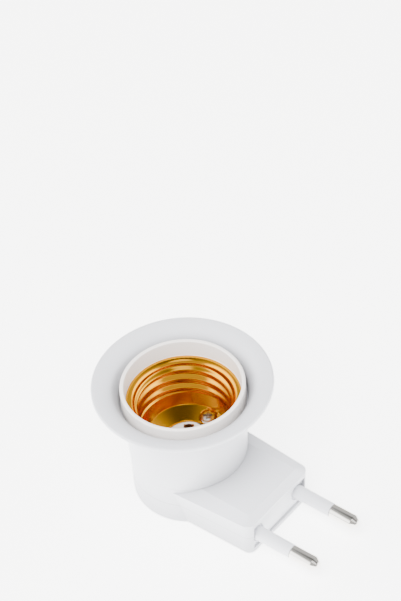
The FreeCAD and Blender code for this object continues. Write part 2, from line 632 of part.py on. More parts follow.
def build_shell():
    """Screw shell rolled from thin sheet: flanged lip, lamp thread, tapered wall and a sunk conical floor."""
    gauge = d.shell_sheet
    bend = d.lip_bend
    low = d.shell_hole_height - gauge
    seat = d.sleeve_floor_top + gauge
    lip = turned("shell_lip", [
        (d.thread_major, d.thread_head), (d.thread_major + bend, d.lip_height, bend, -1), (d.lip_radius, d.lip_height),
        (d.lip_radius, d.lip_height - gauge), (d.thread_major + bend, d.lip_height - gauge),
        (d.thread_major + gauge, d.thread_head, bend - gauge, 1)])
    base = turned("shell_base", [
        (d.thread_minor, d.thread_foot), (d.thread_minor + gauge, d.thread_foot),
        (d.ridge_radius + gauge, d.ridge_height - gauge), (d.shell_hole, low), (d.shell_hole, d.shell_hole_height),
        (d.ridge_radius, d.ridge_height)])
    under_floor = turned("under_floor", [
        (d.shell_hole, low), (d.ridge_radius + gauge, low), (d.ridge_radius + gauge, d.ridge_height - gauge),
        (d.ridge_radius, d.ridge_height), (d.shell_hole, d.shell_hole_height)])
    thread = cut("shell_thread", thread_form("thread_outside", gauge), [thread_form("thread_inside", as_size(0))])
    pads, sinks, holes = [], [], []
    for tag, y in SHELL_SCREWS.items():
        pads.append(cylinder(f"pad_block_{tag}", d.pad_radius + gauge, d.ridge_height - seat + 1, 0, y, seat - gauge))
        sinks.append(cylinder(f"pad_sink_{tag}", d.pad_radius, d.ridge_height - seat + 1, 0, y, seat))
        holes.append(cylinder(f"shell_hole_{tag}", d.shell_screw_radius + d.screw_clearance, 3, 0, y, seat - 2))
    form = fused("shell_form", [lip, thread, base, common("pad_cups", fused("pad_blocks", pads), under_floor)])
    return node("screw_shell", cut("screw_shell", form, sinks + holes))


def screw(label, radius, head, crown, length):
    """A screw turned head up, its head's seat at its own zero height, with a cross recess."""
    bevel = crown * 0.5
    form = turned(label + "_form", [
        (0, -length), (radius - 0.3, -length), (radius, -length + 0.3), (radius, 0), (head, 0),
        (head, crown - bevel), (head - bevel, crown), (0, crown)])
    width, depth = head * 0.34, crown * 0.6
    slots = [box(f"{label}_slot_{tag}", (-across / 2, across / 2), (-along / 2, along / 2), (crown - depth, crown + 1))
             for tag, across, along in (("long", width, head * 1.1), ("cross", head * 1.1, width))]
    return cut(label, form, slots)


def build_screws():
    """The screws: two in the shell, two under the cup, three in the cover."""
    for tag, y in SHELL_SCREWS.items():
        item = screw(f"shell_screw_{tag}", d.shell_screw_radius, d.shell_screw_head, d.shell_screw_crown,
                     d.shell_screw_length)
        move(item, 0, y, d.sleeve_floor_top + d.shell_sheet)
        node(f"shell_screw_{tag}", item)
    over = FreeCAD.Rotation(FreeCAD.Vector(1, 0, 0), 180)
    for tag, x in CUP_SCREWS.items():
        item = screw(f"cup_screw_{tag}", d.wood_screw_radius, d.wood_screw_head, d.wood_screw_crown,
                     d.cup_screw_tip - d.ceiling)
        item.Placement = FreeCAD.Placement(FreeCAD.Vector(), over)
        move(item, x, 0, d.ceiling)
        node(f"cup_screw_{tag}", item)
    for tag, (x, y) in COVER_SCREWS.items():
        item = screw(f"cover_screw_{tag}", d.wood_screw_radius, d.wood_screw_head, d.wood_screw_crown,
                     d.cover_screw_tip - d.cover_screw_seat)
        item.Placement = FreeCAD.Placement(FreeCAD.Vector(), over)
        move(item, x, y, d.cover_screw_seat)
        node(f"cover_screw_{tag}", item)


def build_plates():
    """Tapped plates under the sleeve's floor: the neutral terminal with its tab, and a plain nut."""
    top = d.cup_floor
    low = top - d.nut_thickness
    half = d.nut_width / 2
    outer = d.nut_inner + d.nut_depth
    plate = box("terminal_plate", (-half, half), (d.nut_inner, outer), (low, top))
    tab = box("terminal_tab", (half - d.tab_thickness, half),
              (d.shell_screw_place - d.tab_width / 2, d.shell_screw_place + d.tab_width / 2), (d.tab_foot, top))
    bores = {tag: cylinder(f"plate_bore_{tag}", d.shell_screw_radius + d.tapped_clearance, d.nut_thickness + 2, 0, y, low - 1)
             for tag, y in SHELL_SCREWS.items()}
    node("neutral_terminal", cut("neutral_terminal", fused("terminal_form", [plate, tab]), [bores["left"]]))
    nut = box("nut_plate_form", (-half, half), (-outer, -d.nut_inner), (low, top))
    node("shell_nut_plate", cut("shell_nut_plate", nut, [bores["right"]]))


def build_contact():
    """Carrier, spring tongue, rivet and live terminal of the centre contact."""
    carrier = padded("carrier_form", [
        (-d.carrier_radius, -d.carrier_flat), (d.carrier_radius, -d.carrier_flat),
        (d.carrier_radius, d.carrier_flat), (-d.carrier_radius, d.carrier_flat)], d.body_height, d.carrier_top)
    disc = cylinder("carrier_disc", d.carrier_radius, d.carrier_top - d.body_height, z=d.body_height)
    heading = FreeCAD.Rotation(FreeCAD.Vector(0, 0, 1), math.degrees(math.atan2(-d.rivet_y.value, -d.rivet_x.value)))
    pocket = box("carrier_pocket", (d.tongue_bend - d.tongue_gap, d.pocket_end), (-d.pocket_half, d.pocket_half),
                 (d.carrier_top - d.pocket_depth, d.carrier_top + 1))
    turned_box = doc.addObject("Part::MultiFuse", "carrier_pocket_turned")
    turned_box.Shapes = [pocket, cylinder("carrier_pocket_end", d.pocket_half, d.pocket_depth + 1, d.pocket_end, 0,
                                          d.carrier_top - d.pocket_depth)]
    turned_box.Placement = FreeCAD.Placement(FreeCAD.Vector(), heading)
    move(turned_box, d.rivet_x, d.rivet_y, 0)
    bore = cylinder("carrier_bore", d.rivet_shank + d.tapped_clearance, d.carrier_height + 2, d.rivet_x, d.rivet_y, d.body_height - 1)
    node("contact_carrier", cut("contact_carrier", common("carrier_block", carrier, disc), [turned_box, bore]))

    under = d.carrier_top + d.tongue_gap
    over = under + d.tongue_thickness
    crest = over + d.tongue_rise
    slope = (d.tongue_rise / (d.tongue_crest - d.tongue_bend))
    strip = padded("tongue_strip", [
        (-d.tongue_root, under), (d.tongue_bend, under), (d.tongue_crest, crest - d.tongue_thickness),
        (d.tongue_tip, crest - d.tongue_thickness - d.tongue_fall), (d.tongue_tip + 0.1, crest - d.tongue_fall),
        (d.tongue_crest + 0.1, crest), (d.tongue_bend - slope * d.tongue_thickness / 2, over), (-d.tongue_root, over)],
        -d.tongue_width / 2, d.tongue_width / 2, role="XZ_Plane")
    hole = cylinder("tongue_hole", d.rivet_shank + d.tongue_gap, 3, 0, 0, under - 1)
    tongue = cut("centre_contact", strip, [hole])
    tongue.Placement = FreeCAD.Placement(FreeCAD.Vector(), heading)
    move(tongue, d.rivet_x, d.rivet_y, 0)
    node("centre_contact", tongue)

    seat = d.body_height - d.tab_thickness
    head_low = over + d.tongue_gap
    head_top = head_low + d.rivet_head_thickness
    rivet = turned("contact_rivet", [
        (0, seat - 0.6), (d.rivet_head, seat - 0.6), (d.rivet_head, seat), (d.rivet_shank, seat),
        (d.rivet_shank, head_low), (d.rivet_head, head_low),
        (d.rivet_head - d.rivet_head_thickness * 0.8, head_top, d.rivet_head_thickness * 1.2, 1),
        (0, head_top)])
    move(rivet, d.rivet_x, d.rivet_y, 0)
    node("contact_rivet", rivet)

    half = d.tab_width / 3
    eye = cylinder("live_eye", d.tab_width / 2, d.tab_thickness, d.rivet_x, d.rivet_y, seat)
    arm = box("live_arm", (d.rivet_x - half, d.rivet_x + half), (-d.tab_thickness, d.rivet_y), (seat, d.body_height))
    tab = box("live_tab", (d.rivet_x - half, d.rivet_x + half), (-d.tab_thickness, 0), (d.tab_foot, d.body_height))
    eyelet = cylinder("live_eyelet", d.rivet_shank + d.tapped_clearance, 4, d.rivet_x, d.rivet_y, seat - 1)
    node("live_terminal", cut("live_terminal", fused("live_form", [eye, arm, tab]), [eyelet]))


PIN_SIDES = {"left": 1, "right": -1}


def build_pins():
    """Bridge, pins and insulating sleeves; each pin is turned along its own axis and laid along X."""
    low = d.window_frame_low + d.frame_clearance
    high = d.window_frame_high - d.frame_clearance
    half = d.window_frame_half - d.frame_clearance
    nose = box("bridge_nose", (d.bridge_flange_face, d.bridge_face), (-half, half), (low, high))
    through = d.bridge_face - d.bridge_back + 2
    flange = box("bridge_flange", (d.bridge_back, d.bridge_flange_face - d.frame_clearance), (-half, half),
                 (d.body_floor + d.frame_clearance, d.room_ceiling - d.frame_clearance))
    neck = box("bridge_neck", (d.bridge_flange_face - 0.5, d.bridge_flange_face), (-half, half), (low, high))
    holes = []
    for tag, side in PIN_SIDES.items():
        y = d.pin_half_pitch * side
        holes.append(cylinder(f"bridge_bore_{tag}", d.pin_sleeve_root + d.pin_clearance, through,
                              d.bridge_back + d.bridge_seat, y, d.pin_height, ALONG_X))
        holes.append(cylinder(f"bridge_core_{tag}", d.pin_core + d.pin_clearance, through, d.bridge_back - 1, y,
                              d.pin_height, ALONG_X))
        holes.append(cylinder(f"bridge_well_{tag}", d.pin_well, 3, d.bridge_face - d.pin_well_depth, y, d.pin_height, ALONG_X))
    node("pin_bridge", cut("pin_bridge", fused("bridge_form", [nose, flange, neck]), holes))

    metal = d.pin_tip - d.pin_metal
    tail = d.bridge_back - d.pin_collar_length - d.pin_tail_length
    for tag, side in PIN_SIDES.items():
        y = d.pin_half_pitch * side
        pin = turned(f"pin_{tag}", [
            (0, 0), (d.pin_tail, 0), (d.pin_tail, d.pin_tail_length), (d.pin_collar, d.pin_tail_length),
            (d.pin_collar, d.bridge_back - tail), (d.pin_core, d.bridge_back - tail), (d.pin_core, metal - tail),
            (d.pin_radius, metal - tail), (d.pin_radius, d.pin_tip - tail - d.pin_nose),
            (d.pin_radius * 0.35, d.pin_tip - tail, d.pin_nose * 1.02, 1), (0, d.pin_tip - tail)])
        pin.Placement = FreeCAD.Placement(FreeCAD.Vector(), ALONG_X)
        move(pin, tail, y, d.pin_height)
        node(f"pin_{tag}", pin)
        start = d.bridge_back + d.bridge_seat
        root = d.bridge_face - d.pin_well_depth - start
        sleeve = turned(f"pin_sleeve_{tag}", [
            (d.pin_core + d.pin_clearance, 0), (d.pin_sleeve_root, 0), (d.pin_sleeve_root, root),
            (d.pin_sleeve_radius, root), (d.pin_sleeve_radius - d.pin_sleeve_draft, metal - start),
            (d.pin_core + d.pin_clearance, metal - start)])
        sleeve.Placement = FreeCAD.Placement(FreeCAD.Vector(), ALONG_X)
        move(sleeve, start, y, d.pin_height)
        node(f"pin_sleeve_{tag}", sleeve)


def lead(label, points):
    """An insulated lead: straight runs joined by tangent arcs, swept with a round section."""
    places = [FreeCAD.Vector(*[as_size(value).value for value in point]) for point in points]
    edges = []
    start = places[0]
    for before, corner, after in zip(places, places[1:], places[2:]):
        back, onward = (before - corner).normalize(), (after - corner).normalize()
        half_turn = (math.pi - back.getAngle(onward)) / 2
        shorter = min((before - corner).Length, (after - corner).Length)
        radius = min(d.lead_bend.value, 0.45 * shorter / math.tan(half_turn))
        reach = radius * math.tan(half_turn)
        first, last = corner + back * reach, corner + onward * reach
        middle = corner + (back + onward).normalize() * (radius / math.cos(half_turn) - radius)
        edges.append(Part.LineSegment(start, first).toShape())
        edges.append(Part.Arc(first, middle, last).toShape())
        start = last
    edges.append(Part.LineSegment(start, places[-1]).toShape())
    path = Part.Wire(edges)
    section = Part.Wire([Part.Circle(places[0], places[1] - places[0], d.lead_radius.value).toShape()])
    item = doc.addObject("Part::Feature", label)
    item.Shape = path.makePipeShell([section], True, False)
    full = math.pi * d.lead_radius.value ** 2 * path.Length
    if abs(item.Shape.Volume / full - 1) > 0.01:
        raise RuntimeError(f"{label} doesn't keep its section along its path")
    return node(label, item)


def build_leads():
    """Two leads from the terminals' tabs to the pins, with a ferrule on each pin's tail."""
    tail = d.bridge_back - d.pin_collar_length - d.pin_tail_length
    end = tail - d.tapped_clearance
    half = d.nut_width / 2
    lead("neutral_lead", [
        (half, d.shell_screw_place, d.lead_height), (half + d.neutral_near, d.shell_screw_place, d.lead_height),
        (half + d.neutral_far, d.pin_half_pitch, d.pin_height), (end, d.pin_half_pitch, d.pin_height)])
    lead("live_lead", [
        (d.rivet_x, -d.tab_thickness, d.lead_height), (d.rivet_x, d.live_side - d.shell_screw_place, d.lead_height),
        (half + d.live_near, -d.pin_half_pitch, d.lead_height), (half + d.live_far, -d.pin_half_pitch, d.pin_height),
        (end, -d.pin_half_pitch, d.pin_height)])
    bore = d.pin_tail + d.pin_clearance
    for tag, side in (("neutral", 1), ("live", -1)):
        ferrule = turned(f"{tag}_ferrule", [
            (bore, 0), (bore + d.ferrule_wall, 0), (bore + d.ferrule_wall, d.ferrule_length), (bore, d.ferrule_length)])
        ferrule.Placement = FreeCAD.Placement(FreeCAD.Vector(), ALONG_X)
        move(ferrule, tail - d.ferrule_length / 2, d.pin_half_pitch * side, d.pin_height)
        node(f"{tag}_ferrule", ferrule)


def write_parts():
    """Checks every object and each sub-part's solid, then writes one file per sub-part."""
    doc.recompute()
    for item in doc.Objects:
        if "Invalid" in item.State or "Error" in item.State:
            raise RuntimeError(f"{item.Name} failed: {item.State}")
    os.makedirs("parts", exist_ok=True)
    for item in nodes:
        shape = item.Shape
        if shape.isNull() or not shape.isValid() or len(shape.Solids) != 1:
            raise RuntimeError(f"{item.Label} is not one valid solid")
        print(f"{item.Label:18s} {shape.Volume:9.2f} mm3  {len(shape.Faces)} faces")
    for item in nodes:
        item.Shape.exportStep(f"parts/{item.Label}.step")


form = plug_block()
room = body_hollow()
build_cover(form, room)
build_housing(form, room)
build_cup()
build_sleeve()
build_shell()
build_screws()
build_plates()
build_contact()
build_pins()
build_leads()
write_parts()
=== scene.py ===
import math

import bmesh
import bpy
from bpy.props import FloatProperty, FloatVectorProperty, PointerProperty
from mathutils import Matrix, Vector


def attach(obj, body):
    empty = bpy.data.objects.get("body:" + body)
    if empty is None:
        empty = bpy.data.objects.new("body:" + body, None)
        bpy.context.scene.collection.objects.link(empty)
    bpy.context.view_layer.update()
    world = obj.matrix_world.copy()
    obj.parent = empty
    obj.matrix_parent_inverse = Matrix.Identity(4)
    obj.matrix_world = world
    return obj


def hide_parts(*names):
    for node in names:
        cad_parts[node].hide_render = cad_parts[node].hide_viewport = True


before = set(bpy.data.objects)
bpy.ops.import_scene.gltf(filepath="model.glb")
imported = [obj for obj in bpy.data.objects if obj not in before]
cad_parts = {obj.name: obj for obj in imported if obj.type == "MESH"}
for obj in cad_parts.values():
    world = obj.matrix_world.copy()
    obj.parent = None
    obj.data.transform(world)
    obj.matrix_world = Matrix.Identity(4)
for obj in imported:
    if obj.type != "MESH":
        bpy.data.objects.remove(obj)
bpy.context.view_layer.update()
MM = 0.001

# the kinds of node that the trees use most
MATH = "ShaderNodeMath"
VECTOR_MATH = "ShaderNodeVectorMath"
MAP_RANGE = "ShaderNodeMapRange"
NOISE = "ShaderNodeTexNoise"

# the parting hairline, and the painted shade in the deepest nooks, are this share of the clean plastic's
# colour
SEAM_AND_PAINTED_SHADE = 0.6
# the real hairline is about 0.05 mm wide and is drawn nearly four times as wide, so that it shows
SEAM_CORE = 0.06 * MM
SEAM_EDGE = 0.13 * MM
# the hairline is this many times as deep as the grain of the plastic
SEAM_DEPTH = 12.0

# the share of open sky round a point in the deepest nook, and on an open wall, between which the nooks'
# painted shade fades out
NOOK_DEEP, NOOK_OPEN = 0.45, 0.98

# rows, steps and rings of the shell's mesh, and how far short of the ridge the rings end
THREAD_ROW = 0.1 * MM
BELL_STEPS = 14
FLOOR_RINGS = 28
RIDGE_CLEAR = 0.6 * MM
# small roundings of the shell's pressed edges
RIDGE_ROUND = 0.35 * MM
HOLE_EDGE = 0.05 * MM
PAD_EDGE = 0.3 * MM
# how far from a level a point still counts as standing on it
NEARLY = 0.01 * MM

# depth of the thread that is rolled on a screw's shank, and the plain neck over it
SCREW_THREAD = 0.2 * MM
SCREW_NECK = 0.1 * MM
# a screw's tip tapers over this share of its shank's radius, and its thread begins just above that
SCREW_TAPER = 0.5
SCREW_START = 0.55
# segments round a screw, rows in a pitch of its thread, and steps of the dome of a screw or a pin
SCREW_SEGMENTS = 48
PITCH_ROWS = 8
DOME_STEPS = 10

# the way the camera looks, matched to the photo
ACROSS = Vector((0.7834, 0.6180, -0.0658))
UP = Vector((-0.4015, 0.5840, 0.7055))
BACK = Vector((0.4744, -0.5263, 0.7057))
CAMERA_PLACE = Vector((0.37197, -0.40243, 0.61424))

bl_info = {
    "name": "Plug-In Lamp Holder",
    "version": (1, 0, 0),
    "blender": (4, 5, 0),
    "location": "3D View > Sidebar > Lamp Holder",
    "description": "Dresses a white plug-in lamp holder with a rolled gilt screw shell and sleeved pins",
    "category": "Object",
}


def linear(code):
    """Turns an sRGB hex colour to the linear values that shaders read."""
    parts = [int(code[index:index + 2], 16) / 255 for index in (0, 2, 4)]
    return tuple(part / 12.92 if part <= 0.04045 else ((part + 0.055) / 1.055) ** 2.4 for part in parts)


def length(label, note, millimetres):
    """A length in the sidebar."""
    return FloatProperty(name=label, description=note, default=millimetres * MM,
                         subtype="DISTANCE", unit="LENGTH")


def colour(label, note, code):
    """A colour in the sidebar."""
    return FloatVectorProperty(name=label, description=note, default=linear(code),
                               subtype="COLOR", size=3, min=0, max=1)


def brightness(label, note, level):
    """The brightness of a part of the studio in the sidebar."""
    return FloatProperty(name=label, description=note, default=level, min=0)


class LampHolderSizes(bpy.types.PropertyGroup):
    """Sizes of the pieces that are made finer than in the frame."""

    thread_minor: length("Thread Crests", "Radius of the lamp thread's crests", 12.3)
    thread_major: length("Thread Roots", "Radius of the lamp thread's roots", 13.4)
    thread_pitch: length("Thread Pitch", "Climb of the lamp thread in one turn", 3.629)
    thread_foot: length("Thread Foot", "Height at which the thread begins", 21.6)
    thread_head: length("Thread Head", "Height at which the thread ends", 31.5)
    thread_fade: length("Thread Fade", "Height over which the thread fades at each end", 1.0)
    thread_turn: FloatProperty(name="Thread Turn", description="Where the thread's root begins",
                               default=math.radians(169), subtype="ANGLE")
    sheet: length("Sheet", "Thickness of the shell's sheet", 0.4)
    lip_radius: length("Lip Radius", "Outer edge of the shell's lip", 15.6)
    lip_height: length("Lip Height", "Top of the shell's lip", 33.0)
    lip_roll: length("Lip Roll", "Radius of the lip's rolled edge", 0.35)
    ridge_radius: length("Ridge Radius", "Foot of the shell's tapered wall", 11.2)
    ridge_height: length("Ridge Height", "Height of that foot", 18.3)
    hole_radius: length("Hole Radius", "Hole in the shell's floor", 6.7)
    hole_height: length("Hole Height", "Height of the shell's floor at the hole", 16.45)
    pad_radius: length("Pads", "Flat pads pressed into the shell's floor under the screws", 2.05)
    screw_place: length("Shell Screw Place", "Shell screws from the socket's axis", 8.8)
    screw_seat: length("Shell Screw Seat", "Height of the seats of the shell screws' heads", 16.6)
    screw_head: length("Shell Screw Head", "Radius of the shell screws' heads", 1.95)
    screw_crown: length("Shell Screw Crown", "Height of those heads", 1.7)
    screw_shank: length("Shell Screw Shank", "Radius of the shell screws' shanks", 1.5)
    screw_length: length("Shell Screw Length", "Length of those shanks", 4.8)
    screw_pitch: length("Shell Screw Pitch", "Pitch of the thread on those shanks", 0.5)
    cover_head: length("Cover Screw Head", "Radius of the cover screws' heads", 2.2)
    cover_crown: length("Cover Screw Crown", "Height of those heads", 1.5)
    cover_shank: length("Cover Screw Shank", "Radius of the cover screws' shanks", 1.25)
    cover_length: length("Cover Screw Length", "Length of those shanks", 9.0)
    cover_pitch: length("Cover Screw Pitch", "Pitch of the thread on those shanks", 1.1)
    cover_seat: length("Cover Screw Seat", "Height of the cover screws' seats", 2.2)
    cover_front: length("Front Cover Screw", "Front cover screw from the socket's axis", 21.5)
    cover_rear: length("Rear Cover Screws", "Rear cover screws behind and beside that axis", 7.9)
    pin_spacing: length("Pin Spacing", "Pins from the middle of the plug", 8.8)
    pin_height: length("Pin Height", "Height of the pins", 6.2)
    pin_radius: length("Pin Radius", "Radius of the bare end of a pin", 2.0)
    pin_core: length("Pin Core", "Radius of a pin inside its insulating sleeve", 1.4)
    pin_metal: length("Bare Metal", "Where the bare end of a pin begins", 41.5)
    pin_tip: length("Pin Tip", "Where a pin ends", 50.3)
    pin_nose: length("Pin Nose", "Length of the tapered nose of a pin", 1.7)
    pin_groove: length("Shadow Groove", "Gap between a pin's sleeve and its bare end", 0.18)
    tail_end: length("Tail End", "Where a pin's tail ends inside the plug", 20.5)
    tail_radius: length("Tail Radius", "Radius of that tail", 1.2)
    collar_start: length("Collar Start", "Inner face of a pin's collar", 24.8)
    collar_end: length("Collar End", "Outer face of that collar", 26.0)
    collar_radius: length("Collar Radius", "Radius of that collar", 2.2)
    parting: length("Parting Height", "Height of the parting line of the plug's two halves", 7.2)


class LampHolderColours(bpy.types.PropertyGroup):
    """Colours of the finishes."""

    body: colour("Body", "Moulded body, cup and flare", "D3D4D9")
    sleeve: colour("Sleeve", "Insulating sleeve in the flare", "EEE8E3")
    carrier: colour("Carrier", "Insulator under the centre contact", "E4DDD5")
    shell: colour("Shell", "Gilt lacquer of the screw shell", "E5A00A")
    brass: colour("Brass", "Terminals and the nut", "C9A35A")
    bronze: colour("Bronze", "Spring strip", "B98752")
    rivet: colour("Rivet", "Darkened rivet", "5A4334")
    nickel: colour("Nickel", "Plated pins and shell screws", "EDE9E2")
    zinc: colour("Zinc", "Plated hidden screws", "B9BCC2")
    tin: colour("Tin", "Tinned ferrules", "C6C8CA")
    brown: colour("Brown Lead", "Insulation of the live lead", "6B3B22")
    blue: colour("Blue Lead", "Insulation of the neutral lead", "2C5FA8")


class LampHolderStage(bpy.types.PropertyGroup):
    """The photographer's table, lights and lens."""

    floor: colour("Floor", "Pale table", "FBFBFA")
    floor_side: length("Floor Side", "Side of the square table", 3000)
    floor_glow: brightness("Table Glow", "How far the table is lit from below", 3.8)
    key_power: FloatProperty(name="Key Power", description="Large soft light by the camera",
                             default=68.0, min=0, subtype="POWER")
    key_side: length("Key Side", "Side of that light", 1000)
    tent: brightness("Tent", "Brightness of the white tent", 0.85)
    screens: brightness("Screens", "Brightness of the screens left and right", 5.6)
    dim: brightness("Open Top", "Brightness of the room past the tent's open top", 0.12)
    panel: brightness("Panel", "Brightness of the small panel high in front", 2.4)
    lens: FloatProperty(name="Lens", description="Focal length in millimetres", default=179.7, min=1)


def add_node(tree, kind, inputs=None, **settings):
    """Adds a node, applies its settings, and sets or links its inputs."""
    node = tree.nodes.new(kind)
    for name, value in settings.items():
        setattr(node, name, value)
    for key, value in (inputs or {}).items():
        if isinstance(value, bpy.types.NodeSocket):
            tree.links.new(value, node.inputs[key])
        else:
            node.inputs[key].default_value = value
    return node


def new_material(name, base, **surface):
    """A material with its shader and object coordinates, ready for its own pattern."""
    material = bpy.data.materials.new(name)
    material.use_nodes = True
    tree = material.node_tree
    tree.nodes.clear()
    shader = add_node(tree, "ShaderNodeBsdfPrincipled", {"Base Color": (*base, 1), **surface})
    add_node(tree, "ShaderNodeOutputMaterial", {"Surface": shader.outputs["BSDF"]})
    place = add_node(tree, "ShaderNodeTexCoord").outputs["Object"]
    return material, tree, shader, place


def dress(tree, shader, tone, dark, light, relief, depth_mm, roughness, strength=0.35):
    """Finishes a surface: its colour and its roughness run between two values, and its relief is raised."""
    where_dark, where_light = roughness
    # the colour sockets of a mix node stand after its number and vector sockets
    mixed = add_node(tree, "ShaderNodeMix", {0: tone, 6: (*dark, 1), 7: (*light, 1)}, data_type="RGBA")
    sheen = add_node(tree, MAP_RANGE, {"Value": tone, "To Min": where_dark, "To Max": where_light})
    bump = add_node(tree, "ShaderNodeBump",
                    {"Height": relief, "Strength": strength, "Distance": depth_mm * MM})
    tree.links.new(mixed.outputs[2], shader.inputs["Base Color"])
    tree.links.new(sheen.outputs["Result"], shader.inputs["Roughness"])
    tree.links.new(bump.outputs["Normal"], shader.inputs["Normal"])


def moulded(name, base, roughness, tint=0.965, grain_mm=0.25, depth_mm=0.004, seam=None, nook_mm=0.0):
    """Injection-moulded plastic: an even colour with a soft cloudiness from the melt's flow, a satin
    gloss that varies a little and the fine spark-eroded grain of the mould. Where they are asked for,
    nooks get painted shade, drawn greyer, and a hairline shows where two mouldings meet."""
    material, tree, shader, place = new_material(name, base, Roughness=roughness, IOR=1.53)
    shader.inputs["Subsurface Weight"].default_value = 0.05
    shader.inputs["Subsurface Radius"].default_value = (1.0, 0.9, 0.8)
    shader.inputs["Subsurface Scale"].default_value = 0.8 * MM
    cloud_mm = 14
    flow = add_node(tree, NOISE, {"Vector": place, "Scale": 1 / (cloud_mm * MM), "Detail": 3.0,
                                  "Distortion": 0.8}).outputs["Fac"]
    relief = add_node(tree, NOISE, {"Vector": place, "Scale": 1 / (grain_mm * MM),
                                    "Detail": 2.0}).outputs["Fac"]
    # the clouds take up only the lightest part of the run from the dark of the seam and the painted
    # shade to the clean colour
    cloud = 1 - (1 - tint) / (1 - SEAM_AND_PAINTED_SHADE)
    tone = add_node(tree, MAP_RANGE, {"Value": flow, "To Min": cloud}).outputs["Result"]
    if nook_mm > 0:
        # painted shade: a real nook looks darker than this light alone makes it, so the plastic is drawn
        # greyer where walls stand close together
        nook = add_node(tree, "ShaderNodeAmbientOcclusion", {"Distance": nook_mm * MM},
                        samples=8).outputs["AO"]
        unshaded = add_node(tree, MAP_RANGE, {"Value": nook, "From Min": NOOK_DEEP,
                                           "From Max": NOOK_OPEN}).outputs["Result"]
        tone = add_node(tree, MATH, {0: tone, 1: unshaded}, operation="MULTIPLY").outputs["Value"]
    if seam is not None:
        height = add_node(tree, "ShaderNodeSeparateXYZ", {"Vector": place}).outputs["Z"]
        away = add_node(tree, MATH, {0: height, 1: seam}, operation="SUBTRACT").outputs["Value"]
        near = add_node(tree, MATH, {0: away}, operation="ABSOLUTE").outputs["Value"]
        line = add_node(tree, MAP_RANGE, {"Value": near, "From Min": SEAM_CORE,
                                          "From Max": SEAM_EDGE}).outputs["Result"]
        tone = add_node(tree, MATH, {0: tone, 1: line}, operation="MULTIPLY").outputs["Value"]
        deep = add_node(tree, MATH, {0: line, 1: SEAM_DEPTH}, operation="MULTIPLY").outputs["Value"]
        relief = add_node(tree, MATH, {0: relief, 1: deep}, operation="ADD").outputs["Value"]
    # what is darker is a little duller too
    shade, dull = [part * SEAM_AND_PAINTED_SHADE for part in base], roughness + 0.1
    dress(tree, shader, tone, shade, base, relief, depth_mm, (dull, roughness))
    return material


def metal(name, base, roughness, along="Z", line_mm=0.12, depth_mm=0.003, tint=0.86, strength=0.3,
          worn_mm=3.0, glancing=(1, 1, 1)):
    """Worked metal: bright, with the fine marks of the tool across its axis and faint cloudy stains."""
    material, tree, shader, place = new_material(name, base, Metallic=1.0, Roughness=roughness)
    shader.inputs["Specular Tint"].default_value = (*glancing, 1)
    # a mark is this many times as long as it is wide
    slender = 50
    stretch = [1 if axis == along else 1 / slender for axis in "XYZ"]
    lines = add_node(tree, "ShaderNodeMapping", {"Vector": place, "Scale": stretch}).outputs["Vector"]
    marks = add_node(tree, NOISE, {"Vector": lines, "Scale": 1 / (line_mm * MM),
                                   "Detail": 2.0}).outputs["Fac"]
    stain = add_node(tree, NOISE, {"Vector": place, "Scale": 1 / (worn_mm * MM),
                                   "Detail": 4.0}).outputs["Fac"]
    stained = [part * tint for part in base]
    dull, bright = roughness + 0.05, roughness - 0.04
    dress(tree, shader, stain, stained, base, marks, depth_mm, (dull, bright), strength)
    return material


def paint(finish, *names):
    """Gives pieces of the frame a finish."""
    for name in names:
        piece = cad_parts[name]
        piece.data.materials.clear()
        piece.data.materials.append(finish)


def new_piece(name, mesh, finish=None):
    """Puts a mesh in the scene as a piece, with its finish if it has one yet."""
    piece = bpy.data.objects.new(name, mesh)
    bpy.context.collection.objects.link(piece)
    if finish is not None:
        piece.data.materials.append(finish)
    return piece


def lathe(name, outline, segments):
    """A closed mesh turned round Z from a closed outline of (radius, height), or from one that starts
    and ends on Z."""
    mesh = bpy.data.meshes.new(name)
    work = bmesh.new()
    rings = []
    for radius, height in outline:
        turns = [math.tau * step / segments for step in range(segments)] if radius > 0 else [0.0]
        corners = [(radius * math.cos(turn), radius * math.sin(turn), height) for turn in turns]
        rings.append([work.verts.new(corner) for corner in corners])
    for ring, following in zip(rings, rings[1:] + rings[:1]):
        for step in range(segments if len(ring) + len(following) > 2 else 0):
            after = (step + 1) % segments
            if len(ring) == 1:
                work.faces.new((ring[0], following[after], following[step]))
            elif len(following) == 1:
                work.faces.new((ring[step], ring[after], following[0]))
            else:
                work.faces.new((ring[step], ring[after], following[after], following[step]))
    bmesh.ops.recalc_face_normals(work, faces=work.faces)
    work.to_mesh(mesh)
    work.free()
    return mesh


def rounded(before, corner, after, radius, steps=5):
    """Points of a rounded corner between two straight runs."""
    before, corner, after = Vector(before), Vector(corner), Vector(after)
    back, onward = (before - corner).normalized(), (after - corner).normalized()
    reach = radius / math.tan(back.angle(onward) / 2)
    start, end = corner + back * reach, corner + onward * reach
    shares = [step / steps for step in range(steps + 1)]
    return [tuple(start * (1 - share) ** 2 + corner * 2 * share * (1 - share) + end * share ** 2)
            for share in shares]


def quarter_turn(steps):
    """Angles that divide a quarter of a turn evenly, with its start and its end."""
    return [math.pi / 2 * step / steps for step in range(steps + 1)]


def crisp(mesh):
    """Shades a mesh smooth, apart from the edges that turn sharply."""
    mesh.shade_smooth()
    mesh.set_sharp_from_angle(angle=math.radians(30))


def new_tree(name, numbers, objects=()):
    """A geometry tree, and what it is given: a mesh, objects and numbers."""
    tree = bpy.data.node_groups.new(name, "GeometryNodeTree")
    tree.interface.new_socket("Geometry", in_out="INPUT", socket_type="NodeSocketGeometry")
    for label in objects:
        tree.interface.new_socket(label, in_out="INPUT", socket_type="NodeSocketObject")
    for label in numbers:
        tree.interface.new_socket(label, in_out="INPUT", socket_type="NodeSocketFloat")
    tree.interface.new_socket("Geometry", in_out="OUTPUT", socket_type="NodeSocketGeometry")
    return tree, add_node(tree, "NodeGroupInput").outputs


